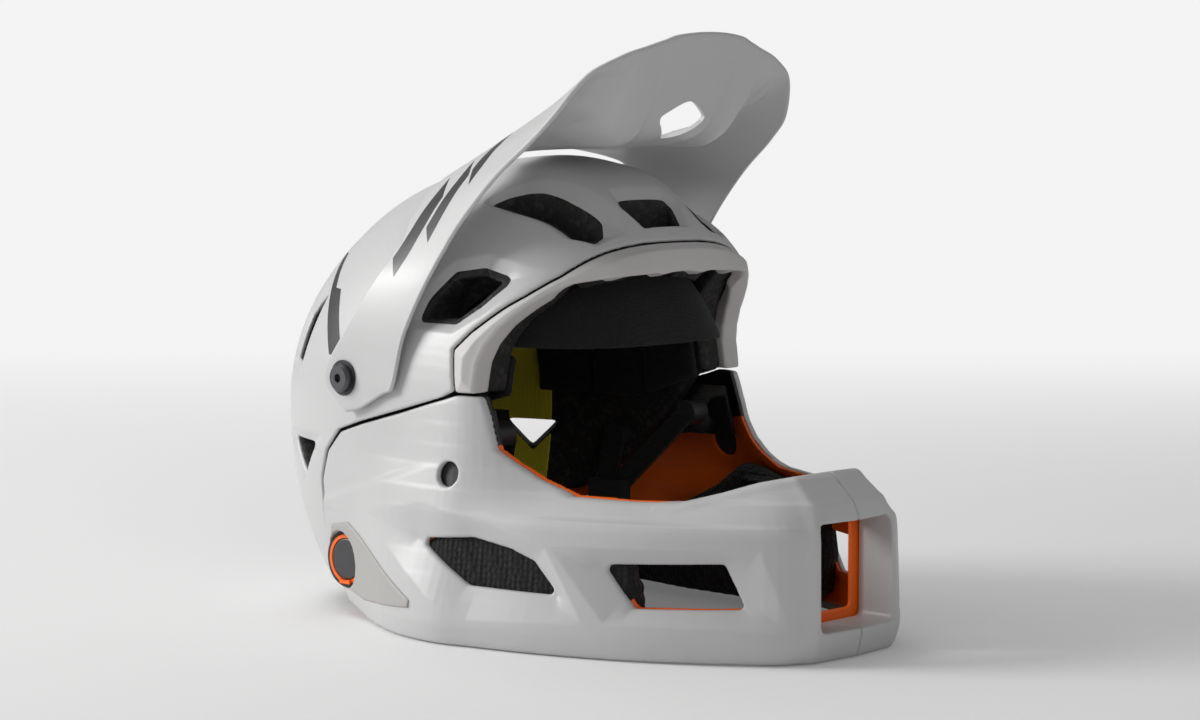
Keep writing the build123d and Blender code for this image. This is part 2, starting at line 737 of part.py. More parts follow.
def chin_liner(side):
    """One half of the orange inner lining of the chin bar, behind the vent frame."""
    body = liner_body - chin_body(liner_start + liner_wall, -2 * overrun)
    near, far = sorted((0, side * half_width))
    body &= box_between((near, liner_front + liner_wall + running_gap, liner_floor),
                        (far, far_rear, far_top))
    for cutter in side_windows(liner_wall / 2):
        body -= cutter
    return biggest(body - cross_rod(cup_radius + soft_gap, dial_spot.Y, dial_spot.Z,
                                    side * recess_half_width / 2, side * half_width))


def cheek_pad(side):
    """A thick cheek pad on the liner."""
    body = chin_body(liner_start + liner_wall + 2 * soft_gap, -overrun)
    return biggest(body & half_prism(side_points(cheek_pad_shares), side,
                                     cheek_pad_share * half_width))


def wing_plate(side):
    """The raised plate behind a release dial."""
    body = chin_body(-plate_stand) - chin_body(-running_gap)
    body &= half_prism(side_points(wing_plate_shares), side)
    body &= chin_region
    body -= cross_rod(cup_radius + running_gap, dial_spot.Y, dial_spot.Z,
                      side * recess_half_width / 2, side * half_width)
    return biggest(body)


latch_x = latch_x_share * half_width
latch_front = hem_line[4][0]
latch_start = latch_front + latch_reach - latch_length


def latch_tongue(side):
    """The sliding tongue that reaches back into the helmet's catch."""
    low = (side * latch_x - latch_width / 2, latch_start, dial_spot.Z - latch_height / 2)
    high = (side * latch_x + latch_width / 2, latch_start + latch_length,
            dial_spot.Z + latch_height / 2)
    return box_between(low, high)


def dial_housing(side):
    """The cup that carries a release dial, with the box that guides its tongue."""
    cup = cross_rod(cup_radius, dial_spot.Y, dial_spot.Z, side * (well_floor - dial_well_floor),
                    side * (dial_face - free_gap))
    cup -= cross_rod(well_radius, dial_spot.Y, dial_spot.Z, side * well_floor,
                     side * half_width)
    grow = running_gap + latch_wall
    box_end = dial_spot.Y + latch_box_length
    low = (side * latch_x - latch_width / 2 - grow, dial_spot.Y - latch_wall,
           dial_spot.Z - latch_height / 2 - grow)
    high = (side * latch_x + latch_width / 2 + grow, box_end,
            dial_spot.Z + latch_height / 2 + grow)
    guide = box_between(low, high)
    near, far = sorted((side * latch_x, side * (well_floor - dial_well_floor)))
    link = box_between((near, low[1], low[2]), (far, high[1], high[2]))
    slot = box_between(
        (side * latch_x - latch_width / 2 - running_gap, low[1] - overrun,
         dial_spot.Z - latch_height / 2 - running_gap),
        (side * latch_x + latch_width / 2 + running_gap, box_end + overrun,
         dial_spot.Z + latch_height / 2 + running_gap))
    body = cup + (guide + link & chin_body(chin_wall + soft_gap, -overrun)) - slot
    return body - cross_rod(dial_shaft_radius + running_gap, dial_spot.Y, dial_spot.Z,
                            side * (latch_x + latch_width / 2), side * half_width)


def dial_knob(side):
    """The dark domed knob of a release dial, with its shaft."""
    start = well_floor + free_gap / 2
    top = dial_face
    knob = cross_rod(dial_radius, dial_spot.Y, dial_spot.Z, side * start, side * top)
    rim = knob.edges().filter_by(GeomType.CIRCLE).sort_by(Axis.X)[-1 if side > 0 else 0]
    knob = fillet(rim, dial_dome)
    shaft_end = latch_x + latch_width / 2 + free_gap / 2
    return knob + cross_rod(dial_shaft_radius, dial_spot.Y, dial_spot.Z, side * shaft_end,
                            side * start)


def dial_ring(side):
    """The orange ring round a knob, with the lug that the thumb pushes."""
    start = dial_face - dial_ring_height
    outside = dial_radius + dial_ring_wall
    ring = cross_rod(outside, dial_spot.Y, dial_spot.Z, side * start, side * dial_face)
    near, far = sorted((side * dial_face, side * (dial_face + dial_dome)))
    lug = box_between((near, dial_spot.Y - dial_lug_width / 2, dial_spot.Z - outside),
                      (far, dial_spot.Y + dial_lug_width / 2,
                       dial_spot.Z - outside + dial_ring_wall + dial_lug_reach))
    body = ring + lug
    return body - cross_rod(dial_radius + running_gap, dial_spot.Y, dial_spot.Z,
                            side * well_floor, side * half_width)


def latch_catch(side):
    """The metal socket in the helmet's lower edge that takes a tongue."""
    half = (latch_width / 2 + running_gap, latch_height / 2 + running_gap)
    deep = latch_front + latch_reach + free_gap
    block = box_between(
        (side * latch_x - half[0] - latch_wall, latch_front, dial_spot.Z - half[1] - latch_wall),
        (side * latch_x + half[0] + latch_wall, deep + latch_wall,
         dial_spot.Z + half[1] + latch_wall))
    hollow = box_between(
        (side * latch_x - half[0], latch_front - overrun, dial_spot.Z - half[1]),
        (side * latch_x + half[0], deep, dial_spot.Z + half[1]))
    return block, hollow


# Chin strap: on each side two webs from the foam meet at a divider, and one goes on
buckle_spot = spot(*buckle_shares)


def divider_spot(side):
    """The middle of a strap divider."""
    x, y, z = divider_shares
    return spot(side * x, y, z)


def strap_web_list(side):
    """The three webs of one side of the chin strap."""
    middle = divider_spot(side)
    ends = [point for point in anchor_spots if point.X * side > 0]
    ends.append(buckle_spot + Vector(side * buckle_web_start, 0, 0))
    webs = []
    for end in ends:
        run = (middle - end).normalized()
        webs.append(strip(end, middle - run * divider_wall / 2, web_width, web_wall, (0, 1, 0)))
    return webs


def strap_webs(side):
    """The webs of one side as one group."""
    return Compound(strap_web_list(side))


def strap_anchors(side):
    """The two round anchors that hold a side's webs in the foam."""
    rods = []
    for point in anchor_spots:
        if point.X * side > 0:
            rod = anchor_rod(point)
            for web in strap_web_list(side):
                rod -= web
            rods.append(biggest(rod))
    return Compound(rods)


def strap_divider(side):
    """The divider that gathers the two upper webs of a side."""
    body = Pos(*divider_spot(side)) * Box(divider_wall, divider_length, divider_height)
    for web in strap_web_list(side):
        body -= web
    return biggest(body)


def buckle_half(side):
    """One half of the buckle under the chin; the right half carries the prong."""
    low = buckle_spot - Vector(0, buckle_width / 2, buckle_wall / 2)
    high = buckle_spot + Vector(0, buckle_width / 2, buckle_wall / 2)
    near, far = sorted((side * running_gap, side * buckle_length))
    body = box_between((near, low.Y, low.Z), (far, high.Y, high.Z))
    for web in strap_web_list(side):
        body -= web
    body = biggest(body)
    margin = running_gap if side > 0 else 0
    prong = Pos(*buckle_spot) * Box(2 * (prong_reach + margin), prong_width + 2 * margin,
                                    prong_wall + 2 * margin)
    return biggest(body - prong if side > 0 else body + prong)


save("outer_shell", helmet_shell)
save("brow_rim", brow_rim())
catches = [latch_catch(side) for side in (1, -1)]
for block, hollow in catches:
    foam -= block
save("foam_core", foam)
for name, (block, hollow) in zip(("left", "right"), catches):
    save(f"latch_catch_{name}", block - hollow)
mirror_pair("pivot_insert", pivot_insert)
mirror_pair("pivot_boss", pivot_boss)
mirror_pair("pivot_washer", pivot_washer)
mirror_pair("pivot_screw", pivot_screw)
mirror_pair("dock_plate", dock_plate)
save("slip_liner", slip_liner())
save("brow_pad", pad_piece(foam_pads, brow_pad_shares, -half_width, half_width))
pad_half = pad_split_share * half_width
save("crown_pad", pad_piece(foam_pads, crown_pad_shares, -pad_half, pad_half))
save("rear_pad", pad_piece(liner_pads, rear_pad_shares, -pad_half, pad_half))
mirror_pair("side_pad", lambda side: pad_piece(
    liner_pads, side_pad_shares, *sorted((side * pad_half, side * half_width))))
save("fit_rail", fit_rail())
save("fit_cradle", fit_cradle())
save("fit_dial", fit_dial())
save("visor", visor())
shell_whole = chin_shell()
mirror_pair("chin_shell", lambda side: chin_half(shell_whole, side))
save("vent_frame", vent_frame())
mirror_pair("chin_liner", chin_liner)
mirror_pair("cheek_pad", cheek_pad)
mirror_pair("wing_plate", wing_plate)
mirror_pair("dial_housing", dial_housing)
mirror_pair("dial_knob", dial_knob)
mirror_pair("dial_ring", dial_ring)
mirror_pair("latch_tongue", latch_tongue)
mirror_pair("strap_webs", strap_webs)
mirror_pair("strap_anchors", strap_anchors)
mirror_pair("strap_divider", strap_divider)
mirror_pair("buckle", buckle_half)
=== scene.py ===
"""Looks of a full-face downhill bicycle helmet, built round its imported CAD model."""
import math

import bpy
import numpy as np
import openvdb
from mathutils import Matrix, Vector


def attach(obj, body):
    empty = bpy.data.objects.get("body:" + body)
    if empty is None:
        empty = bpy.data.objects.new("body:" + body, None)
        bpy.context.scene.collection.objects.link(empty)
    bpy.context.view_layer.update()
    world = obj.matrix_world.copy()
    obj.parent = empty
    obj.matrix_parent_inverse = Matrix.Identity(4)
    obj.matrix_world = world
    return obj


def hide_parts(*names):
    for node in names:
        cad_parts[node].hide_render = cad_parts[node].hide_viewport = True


MM = 0.001
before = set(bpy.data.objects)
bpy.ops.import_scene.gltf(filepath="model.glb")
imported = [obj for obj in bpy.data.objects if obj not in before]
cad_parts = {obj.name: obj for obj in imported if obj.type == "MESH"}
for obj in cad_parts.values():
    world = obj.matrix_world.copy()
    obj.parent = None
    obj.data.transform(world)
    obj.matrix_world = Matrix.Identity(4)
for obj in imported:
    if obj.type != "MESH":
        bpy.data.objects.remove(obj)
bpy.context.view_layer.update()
scene = bpy.context.scene
coarse = 1.0

# Sizes of the CAD model that the shapes below share, in millimetres
DOME_HALF, EQUATOR, DOME_RISE = 108.5, 112.0, 137.0
DOME_MIDDLE, DOME_FRONT, DOME_REAR = 20.625, 114.0, 166.875
PLAN_POWER, RISE_POWER = 2.75, 1.93
NAPE_TUCK, NAPE_POWER = 0.196, 2.31
SHELL_WALL, RIM_DEPTH = 2.4, 13.0
FOAM_TOP, FOAM_FLOOR = 3.0, 29.4
CHIN_WALL, LINER_WALL = 3.6, 2.4
RECESS_HALF, RECESS_GAP = 89.0, 1.2
SEAM_GAP = 0.6
HUGE, TINY = 1e9, 1e-9
SIDES = (("left", False), ("right", True))

# Side-view outlines as (y, z)
EYE_LIP = [(-166.1, 91.9), (-149.6, 87.9), (-136.5, 82.9), (-120.4, 77.9), (-97.5, 77.4),
           (-67.5, 78.4), (-49.5, 85.4), (-37.5, 92.4), (-27.4, 100.1), (-21.4, 118.0),
           (-17.6, 128.0)]
ARM_SEAM = [(-3.4, 128.0), (5.6, 124.0), (35.6, 115.8), (70.5, 106.6), (88.5, 101.1),
            (100.5, 89.9), (107.6, 74.0), (110.6, 45.1), (105.4, 19.9), (92.6, 7.0), (65.6, 0.0)]
RIM_SEAM = [(-79.5, 213.9), (-61.5, 206.9), (-54.4, 199.9), (-46.1, 189.0), (-34.1, 179.0),
            (-25.5, 173.3), (-7.9, 159.6), (1.5, 150.4), (-1.5, 135.0), (-3.4, 128.0)]
RIM_LIP = [(-67.5, 188.0), (-51.4, 184.0), (-43.5, 179.0), (-34.5, 171.1), (-25.5, 162.1),
           (-19.5, 152.9), (-16.5, 143.9), (-16.1, 128.0)]
FOAM_LIP = [(-64.5, 191.7), (-48.0, 188.2), (-39.0, 182.3), (-30.0, 174.3), (-21.0, 165.3),
            (-15.4, 155.9), (-12.8, 146.9), (-12.8, 128.0)]
FOAM_HEM = [(20.6, 99.6), (50.6, 72.2), (90.0, 52.3), (113.3, 47.3), (113.3, 14.9), (157.5, 7.0)]
FAR, FAR_TOP, HEM_HEIGHT = 240.0, 300.0, 7.0
ABOVE_HEM = [(FAR, HEM_HEIGHT), (FAR, FAR_TOP), (-FAR, FAR_TOP), (-FAR, 213.9)]

# Blocks of samples: highest x, y from and to, z from and to, cell, lowest x if not the middle
SHELL_BLOCK = (112, (-100, 192), (2, 254), 1.25)
FOAM_BLOCK = (110, (-100, 190), (5, 250), 1.6)
RIM_BLOCK = (114, (-104, 8), (122, 222), 0.9)
CHIN_BLOCK = (128, (-192, 118), (-3, 131), 1.1)
LINER_BLOCK = (124, (-168, 112), (2, 131), 1.0)
SLIP_BLOCK = (82, (34, 162), (50, 203), 0.85, 20.0)
BROW_PAD_BLOCK = (76, (-64, 0), (144, 194), 1.25)
CROWN_PAD_BLOCK = (42.4, (-24, 70), (202, 222), 1.25)
REAR_PAD_BLOCK = (42.4, (100, 160), (122, 190), 1.25)
SIDE_PAD_BLOCK = (84, (-16, 112), (104, 190), 1.25, 36.0)
CHEEK_PAD_BLOCK = (122, (-124, 70), (0, 84), 1.1, 46.0)


# Fields: signed distances in millimetres on a block of samples, negative inside
class Block:
    """Sample points; where x starts at 0, a field on them is mirrored when it is meshed."""

    def __init__(self, x_high, y_span, z_span, cell, x_low=0.0):
        cell = cell * coarse
        self.cell = cell
        self.mirrored = x_low == 0.0
        self.xs = np.arange(x_low, x_high + cell, cell, dtype=np.float32)
        self.ys = np.arange(y_span[0], y_span[1] + cell, cell, dtype=np.float32)
        self.zs = np.arange(z_span[0], z_span[1] + cell, cell, dtype=np.float32)
        self.x = self.xs[:, None, None]
        self.y = self.ys[None, :, None]
        self.z = self.zs[None, None, :]


def soft_max(a, b, radius):
    """Overlap of two fields with a rounded edge."""
    share = np.clip(0.5 + 0.5 * (a - b) / radius, 0, 1)
    return a * share + b * (1 - share) + radius * share * (1 - share)


def soft_min(a, b, radius):
    """Join of two fields with a rounded corner."""
    return -soft_max(-a, -b, radius)


def ramp(low, high, value):
    """Straight step from 0 to 1 between two values."""
    return np.clip((value - low) / (high - low), 0, 1)


def ease(low, high, value):
    """Smooth step from 0 to 1 between two values."""
    share = ramp(low, high, value)
    return share * share * (3 - 2 * share)


def even(field, cell):
    """A field divided by its own slope, which makes it close to a true distance."""
    flattest = 0.2
    slope = [np.gradient(field, cell, axis=axis) for axis in range(3)]
    size = np.sqrt(slope[0] ** 2 + slope[1] ** 2 + slope[2] ** 2)
    return (field / np.maximum(size, flattest)).astype(np.float32)


def line_distance(points, u, v):
    """Distance from an open line in a plane."""
    best = np.full(np.broadcast(u, v).shape, HUGE, np.float32)
    for (a, b), (c, d) in zip(points, points[1:]):
        du, dv = c - a, d - b
        along = np.clip(((u - a) * du + (v - b) * dv) / (du * du + dv * dv + TINY), 0, 1)
        best = np.minimum(best, np.hypot(u - a - along * du, v - b - along * dv))
    return best


def outline(points, u, v):
    """Signed distance from a closed outline in a plane."""
    ring = points + points[:1]
    best = line_distance(ring, u, v)
    inside = np.zeros(best.shape, bool)
    for (a, b), (c, d) in zip(ring, ring[1:]):
        inside ^= ((b <= v) != (d <= v)) & (u < a + (v - b) / ((d - b) or 1) * (c - a))
    return np.where(inside, -best, best).astype(np.float32)


def inset(points, gap):
    """An outline moved inward by a gap, with its corners kept sharp."""
    points = np.array(points, float)
    after = np.roll(points, -1, 0)
    ahead = after - points
    ahead /= np.linalg.norm(ahead, axis=1, keepdims=True)
    area = np.sum(points[:, 0] * after[:, 1] - after[:, 0] * points[:, 1])
    normal = np.stack([-ahead[:, 1], ahead[:, 0]], 1) * np.sign(area)
    before = np.roll(normal, 1, 0)
    bend = 1 + np.sum(normal * before, axis=1, keepdims=True)
    return [tuple(point) for point in points + (normal + before) * gap / bend]


def trace(points, block):
    """Distance from an open line in the side view, the same at every x."""
    return line_distance(points, block.ys[:, None], block.zs[None, :])[None, :, :]


def side_field(points, block):
    """Distance from a side-view outline, the same at every x."""
    return outline(points, block.ys[:, None], block.zs[None, :])[None, :, :]


def plan_field(points, block):
    """Distance from an outline seen from above, the same at every height."""
    return outline(points, block.xs[:, None], block.ys[None, :])[:, :, None]


def round_field(block, place, radius):
    """Distance from a round hole in the side view."""
    return np.hypot(block.y - place[0], block.z - place[1]) - radius


def dome_field(block):
    """Distance from the helmet's smooth dome."""
    deep = np.where(block.y > DOME_MIDDLE, DOME_REAR, DOME_FRONT)
    plan = ((block.x / DOME_HALF) ** PLAN_POWER
            + (np.abs(block.y - DOME_MIDDLE) / deep) ** PLAN_POWER) ** (1 / PLAN_POWER)
    above = np.maximum(block.z - EQUATOR, 0) / DOME_RISE
    below = np.maximum(EQUATOR - block.z, 0) / EQUATOR
    tuck = 1 - NAPE_TUCK * below ** NAPE_POWER
    gauge = (plan ** RISE_POWER + above ** RISE_POWER) ** (1 / RISE_POWER)
    return even(((gauge - tuck) * DOME_HALF).astype(np.float32), block.cell)


def sample(field, at):
    """A field's values at points given in cells, read between the samples."""
    top = np.array(field.shape) - 2
    low = np.clip(np.floor(at).astype(int), 0, top)
    part = np.clip(at - low, 0, 1)
    total = np.zeros(len(at))
    for corner in range(8):
        pick = np.array([(corner >> bit) & 1 for bit in range(3)])
        weight = np.prod(np.where(pick, part, 1 - part), axis=1)
        at_corner = low + pick
        total += weight * field[at_corner[:, 0], at_corner[:, 1], at_corner[:, 2]]
    return total


def slope_at(field, at):
    """Unit direction in which a field grows fastest, at points given in cells."""
    probe = 0.6
    steps = [sample(field, at + move) - sample(field, at - move) for move in np.eye(3) * probe]
    grown = np.stack(steps, axis=1)
    return grown / np.maximum(np.linalg.norm(grown, axis=1, keepdims=True), TINY)


def mesh_of(name, points, faces, normals=None):
    """An object from arrays of points in millimetres and of faces with as many corners each."""
    mesh = bpy.data.meshes.new(name)
    faces = np.asarray(faces)
    mesh.vertices.add(len(points))
    mesh.vertices.foreach_set("co", (np.asarray(points) * MM).astype(np.float32).ravel())
    corners = faces.shape[1]
    mesh.loops.add(faces.size)
    mesh.loops.foreach_set("vertex_index", faces.astype(np.int32).ravel())
    mesh.polygons.add(len(faces))
    mesh.polygons.foreach_set("loop_start", (np.arange(len(faces)) * corners).astype(np.int32))
    mesh.update(calc_edges=True)
    mesh.shade_smooth()
    if normals is not None:
        mesh.normals_split_custom_set_from_vertices(normals.tolist())
    obj = bpy.data.objects.new(name, mesh)
    scene.collection.objects.link(obj)
    return obj


def skin(name, block, field, flipped=False):
    """The surface where a field is zero, as a smooth mesh, or its mirror image across x = 0."""
    x_low = block.xs[0]
    if block.mirrored:
        field = np.concatenate([field[:0:-1], field])
        x_low = -block.xs[-1]
    reach = 3 * block.cell
    field = np.clip(field, -reach, reach).astype(np.float32)
    field = np.ascontiguousarray(np.pad(field, 1, constant_values=reach))
    grid = openvdb.FloatGrid(reach)
    grid.copyFromArray(field)
    at, faces = grid.convertToQuads()[:2]
    at = at.astype(float)
    pulls, longest_pull = 2, 0.4
    for _ in range(pulls):
        off = np.clip(sample(field, at) / block.cell, -longest_pull, longest_pull)
        at -= slope_at(field, at) * off[:, None]
    grown = slope_at(field, at)
    ring = at[faces]
    facing = np.cross(ring[:, 2] - ring[:, 0], ring[:, 3] - ring[:, 1])
    if (facing * grown[faces[:, 0]]).sum() < 0:
        faces = faces[:, ::-1]
    points = np.array([x_low, block.ys[0], block.zs[0]]) - block.cell + at * block.cell
    if flipped:
        points, grown, faces = points * [-1, 1, 1], grown * [-1, 1, 1], faces[:, ::-1]
    return mesh_of(name, points, faces, grown)


# Finishes
GRAIN_SCALE, GRAIN_DEPTH, TINT_SCALE, ROUGH_SPREAD = 2600.0, 0.0004, 18.0, (-0.03, 0.05)
BEAD_SCALE, BEAD_DEPTH, BEAD_JOINT, BEAD_PALE_FROM = 330.0, 0.0006, 0.12, 0.55
KNIT_SHEEN, KNIT_RANDOMNESS, KNIT_HOLE, KNIT_GAINS = 0.06, 0.35, 0.6, (1.5, 0.35)
RIB_SCALE, RIB_DEPTH = 240.0, 0.0005
BAND_LEAN, BAND_FREE_HALF, BAND_COLOR = 0.6, 0.05, (0.035, 0.035, 0.038)
HELMET_CENTRE = (0, 0.02, 0.15)


def nodes_of(name, color, rough, metal=0.0, coat=0.0):
    """A material with its main shader ready; returns (material, tree, shader)."""
    material = bpy.data.materials.new(name)
    material.use_nodes = True
    tree = material.node_tree
    shader = tree.nodes["Principled BSDF"]
    shader.inputs["Base Color"].default_value = (*color, 1)
    shader.inputs["Roughness"].default_value = rough
    shader.inputs["Metallic"].default_value = metal
    shader.inputs["Coat Weight"].default_value = coat
    shader.inputs["Coat Roughness"].default_value = 0.25
    return material, tree, shader


def add_node(tree, kind, links=(), **values):
    """A shader node with some inputs set and linked; links are (input, output socket)."""
    node = tree.nodes.new(kind)
    for key, value in values.items():
        if hasattr(node, key):
            setattr(node, key, value)
        else:
            node.inputs[key.replace("_", " ")].default_value = value
    for key, socket in links:
        tree.links.new(socket, node.inputs[key])
    return node


def place_on(tree):
    """Where a shaded point is on its object."""
    return add_node(tree, "ShaderNodeTexCoord").outputs["Object"]


def texture(tree, kind, **values):
    """A procedural texture laid on the object."""
    return add_node(tree, f"ShaderNodeTex{kind}", [("Vector", place_on(tree))], **values)


def vector_node(tree, kind, a, b):
    """A sum on a vector socket and a second one, or a fixed vector."""
    node = add_node(tree, "ShaderNodeVectorMath", [(0, a)], operation=kind)
    if isinstance(b, tuple):
        node.inputs[1].default_value = b
    else:
        tree.links.new(b, node.inputs[1])
    return node


def dot(tree, a, b):
    """How far a vector reaches along a direction."""
    return vector_node(tree, "DOT_PRODUCT", a, b).outputs["Value"]


def spread(tree, value, **ends):
    """A value carried from one range to another."""
    return add_node(tree, "ShaderNodeMapRange", [("Value", value)], **ends).outputs["Result"]


def blend(tree, share, low, high):
    """A colour between two, by a share from 0 to 1."""
    mix = add_node(tree, "ShaderNodeMix", [(0, share)], data_type="RGBA")
    mix.inputs[6].default_value = (*low, 1)
    mix.inputs[7].default_value = (*high, 1)
    return mix.outputs[2]


def calc(tree, kind, a, b=0.0):
    """The result of a sum on two sockets or numbers."""
    node = add_node(tree, "ShaderNodeMath", operation=kind)
    for socket, value in zip(node.inputs, (a, b)):
        if isinstance(value, float):
            socket.default_value = value
        else:
            tree.links.new(value, socket)
    return node.outputs[0]


def bump(tree, shader, height, strength, distance):
    """Grain that tilts the shading without moving the surface."""
    node = add_node(tree, "ShaderNodeBump", [("Height", height)], Strength=strength,
                    Distance=distance)
    tree.links.new(node.outputs["Normal"], shader.inputs["Normal"])


def paint(name, color, rough=0.42, coat=0.0, grain=0.02):
    """Satin paint or moulded plastic with a very fine grain."""
    material, tree, shader = nodes_of(name, color, rough, coat=coat)
    noise = texture(tree, "Noise", Scale=GRAIN_SCALE, Detail=2.0)
    bump(tree, shader, noise.outputs["Fac"], grain, GRAIN_DEPTH)
    tint = texture(tree, "Noise", Scale=TINT_SCALE, Detail=3.0)
    low, high = [rough + part for part in ROUGH_SPREAD]
    tree.links.new(spread(tree, tint.outputs["Fac"], To_Min=low, To_Max=high),
                   shader.inputs["Roughness"])
    return material


def beads(name, color, light):
    """Moulded bead foam: dark beads, some of them paler, with sunk joints."""
    material, tree, shader = nodes_of(name, color, rough=0.75)
    cells = texture(tree, "Voronoi", Scale=BEAD_SCALE, feature="DISTANCE_TO_EDGE")
    fleck = texture(tree, "Voronoi", Scale=BEAD_SCALE)
    pale = spread(tree, fleck.outputs["Color"], From_Min=BEAD_PALE_FROM)
    tree.links.new(blend(tree, pale, color, light), shader.inputs["Base Color"])
    joint = spread(tree, cells.outputs["Distance"], From_Max=BEAD_JOINT)
    bump(tree, shader, joint, strength=0.6, distance=BEAD_DEPTH)
    return material


def knit(name, color, scale=900.0, height=0.0006):
    """Fine knitted cloth."""
    material, tree, shader = nodes_of(name, color, rough=0.9)
    shader.inputs["Sheen Weight"].default_value = KNIT_SHEEN
    cells = texture(tree, "Voronoi", Scale=scale, Randomness=KNIT_RANDOMNESS)
    bump(tree, shader, cells.outputs["Distance"], strength=0.9, distance=height)
    shade = spread(tree, cells.outputs["Distance"], From_Max=KNIT_HOLE)
    pale, deep = [[part * gain for part in color] for gain in KNIT_GAINS]
    tree.links.new(blend(tree, shade, pale, deep), shader.inputs["Base Color"])
    return material


def weave(name, color):
    """Ribbed strap webbing."""
    material, tree, shader = nodes_of(name, color, rough=0.7)
    wave = texture(tree, "Wave", Scale=RIB_SCALE, bands_direction="DIAGONAL")
    bump(tree, shader, wave.outputs["Fac"], strength=0.7, distance=RIB_DEPTH)
    return material


def striped(name, color, bands, rough=0.40):
    """Satin paint with dark slanted bands in the side view.

    Each band is (y, z, turn in degrees, half length, half width), in metres. The bands are on
    outward faces alone, and not near the middle of the helmet.
    """
    material = paint(name, color, rough, coat=0.15)
    tree = material.node_tree
    where = place_on(tree)

    def within(value, half):
        return calc(tree, "LESS_THAN", calc(tree, "ABSOLUTE", value), half)

    total = None
    for y, z, turn, long, wide in bands:
        cos, sin = math.cos(math.radians(turn)), math.sin(math.radians(turn))
        off = vector_node(tree, "SUBTRACT", where, (0, y, z)).outputs[0]
        lean = dot(tree, off, (0, cos - BAND_LEAN * sin, sin + BAND_LEAN * cos))
        beside = dot(tree, off, (0, -sin, cos))
        inside = calc(tree, "MULTIPLY", within(lean, long), within(beside, wide))
        total = inside if total is None else calc(tree, "MAXIMUM", total, inside)
    away = vector_node(tree, "SUBTRACT", where, HELMET_CENTRE).outputs[0]
    facing = add_node(tree, "ShaderNodeNewGeometry").outputs["Normal"]
    outward = calc(tree, "GREATER_THAN", dot(tree, away, facing), 0.0)
    off_middle = calc(tree, "ABSOLUTE", dot(tree, where, (1, 0, 0)))
    total = calc(tree, "MULTIPLY", calc(tree, "MULTIPLY", total, outward),
                 calc(tree, "GREATER_THAN", off_middle, BAND_FREE_HALF))
    tree.links.new(blend(tree, total, color, BAND_COLOR),
                   tree.nodes["Principled BSDF"].inputs["Base Color"])
    return material


def two_tone(name, low_color, high_color, height, lean):
    """Plastic in one colour below a slanted line in the side view and in another above it."""
    material = paint(name, low_color)
    tree = material.node_tree
    above = calc(tree, "GREATER_THAN", dot(tree, place_on(tree), (0, lean, 1)), height)
    tree.links.new(blend(tree, above, low_color, high_color),
                   tree.nodes["Principled BSDF"].inputs["Base Color"])
    return material


SHELL_GREY, ORANGE, BLACK = (0.57, 0.57, 0.572), (1.0, 0.15, 0.004), (0.012, 0.012, 0.013)
shell_paint = paint("shell_paint", SHELL_GREY, 0.40, coat=0.15)
helmet_paint = striped("helmet_paint", SHELL_GREY, [
    (0.098, 0.150, 62.0, 0.030, 0.0048), (0.112, 0.168, 62.0, 0.030, 0.0030)])
visor_paint = striped("visor_paint", SHELL_GREY, [
    (0.036, 0.212, 118.0, 0.024, 0.0050), (0.016, 0.226, 118.0, 0.020, 0.0040),
    (-0.006, 0.252, 118.0, 0.015, 0.0040)])
rim_paint = paint("rim_paint", (0.60, 0.59, 0.58), 0.48)
plate_paint = paint("plate_paint", (0.42, 0.41, 0.40), 0.5)
orange = paint("orange", ORANGE, 0.45)
liner_paint = two_tone("liner_paint", ORANGE, BLACK, 0.099, 0.12)
dark = paint("dark", (0.022, 0.022, 0.024), 0.45, grain=0.05)
gloss_black = paint("gloss_black", BLACK, 0.22, coat=0.3)
knob_grey = paint("knob_grey", (0.05, 0.05, 0.055), 0.38)
yellow = paint("yellow", (0.72, 0.66, 0.035), 0.5)
foam = beads("foam", (0.012, 0.0115, 0.011), (0.045, 0.042, 0.040))
cloth = knit("cloth", (0.006, 0.006, 0.0065))
mesh_cloth = knit("mesh_cloth", (0.007, 0.007, 0.0075), scale=330.0, height=0.0016)
webbing = weave("webbing", (0.016, 0.016, 0.017))
steel = nodes_of("steel", (0.10, 0.10, 0.11), 0.38, metal=0.7)[0]
bright_steel = nodes_of("bright_steel", (0.55, 0.56, 0.58), 0.3, metal=1.0)[0]


def dress(obj, material, slot, body, *stands_for):
    """Finish a piece, hang it on its body and let it stand for its CAD nodes."""
    obj.data.materials.clear()
    obj.data.materials.append(material)
    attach(obj, body)
    if stands_for:
        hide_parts(*stands_for)
    return obj


# Outer shell
SHELL_SIDE = RIM_SEAM + ARM_SEAM[1:8] + [(110.6, 14.9), (157.5, HEM_HEIGHT)] + ABOVE_HEM
FORE_VENT = [(58, 20.5), (52.5, 12), (45.5, -8), (44.5, -28), (41, -42), (42.7, -48.5),
             (48, -48.5), (56, -41), (60, -10)]
FORE_RECESS = [(61, 27), (52, 20), (41, 3), (33, -16), (26, -36), (24, -52), (30, -58),
               (52, -54), (63, -40), (66, 0)]
BROW_VENT = [(-18, -36), (18, -36), (19.5, -40), (14.5, -52), (-14.5, -52), (-19.5, -40)]
BROW_RECESS = [(-22, -29), (22, -29), (26, -42), (19, -57), (-19, -57), (-26, -42)]
TEMPLE_VENT = [(29, 163.8), (27, 172), (15.5, 185.8), (-2.1, 188), (-17, 184.5), (-7, 173.8),
               (5.2, 164.8)]
TEMPLE_RECESS = [(40, 160), (33, 180), (18.5, 195), (-5, 199), (-42, 191), (-14, 168),
                 (4, 158)]
REAR_SLOT = [(125.6, 171.8), (140.6, 159.4), (148.1, 135.7), (139.5, 134.5)]
TOP_VENTS_ABOVE, TOP_VENT_TRIM = 150.0, 2.0
TEMPLE_VENT_BEYOND, REAR_SLOT_BEYOND, LOW_SLOT_BEYOND = 70.0, 30.0, 45.0
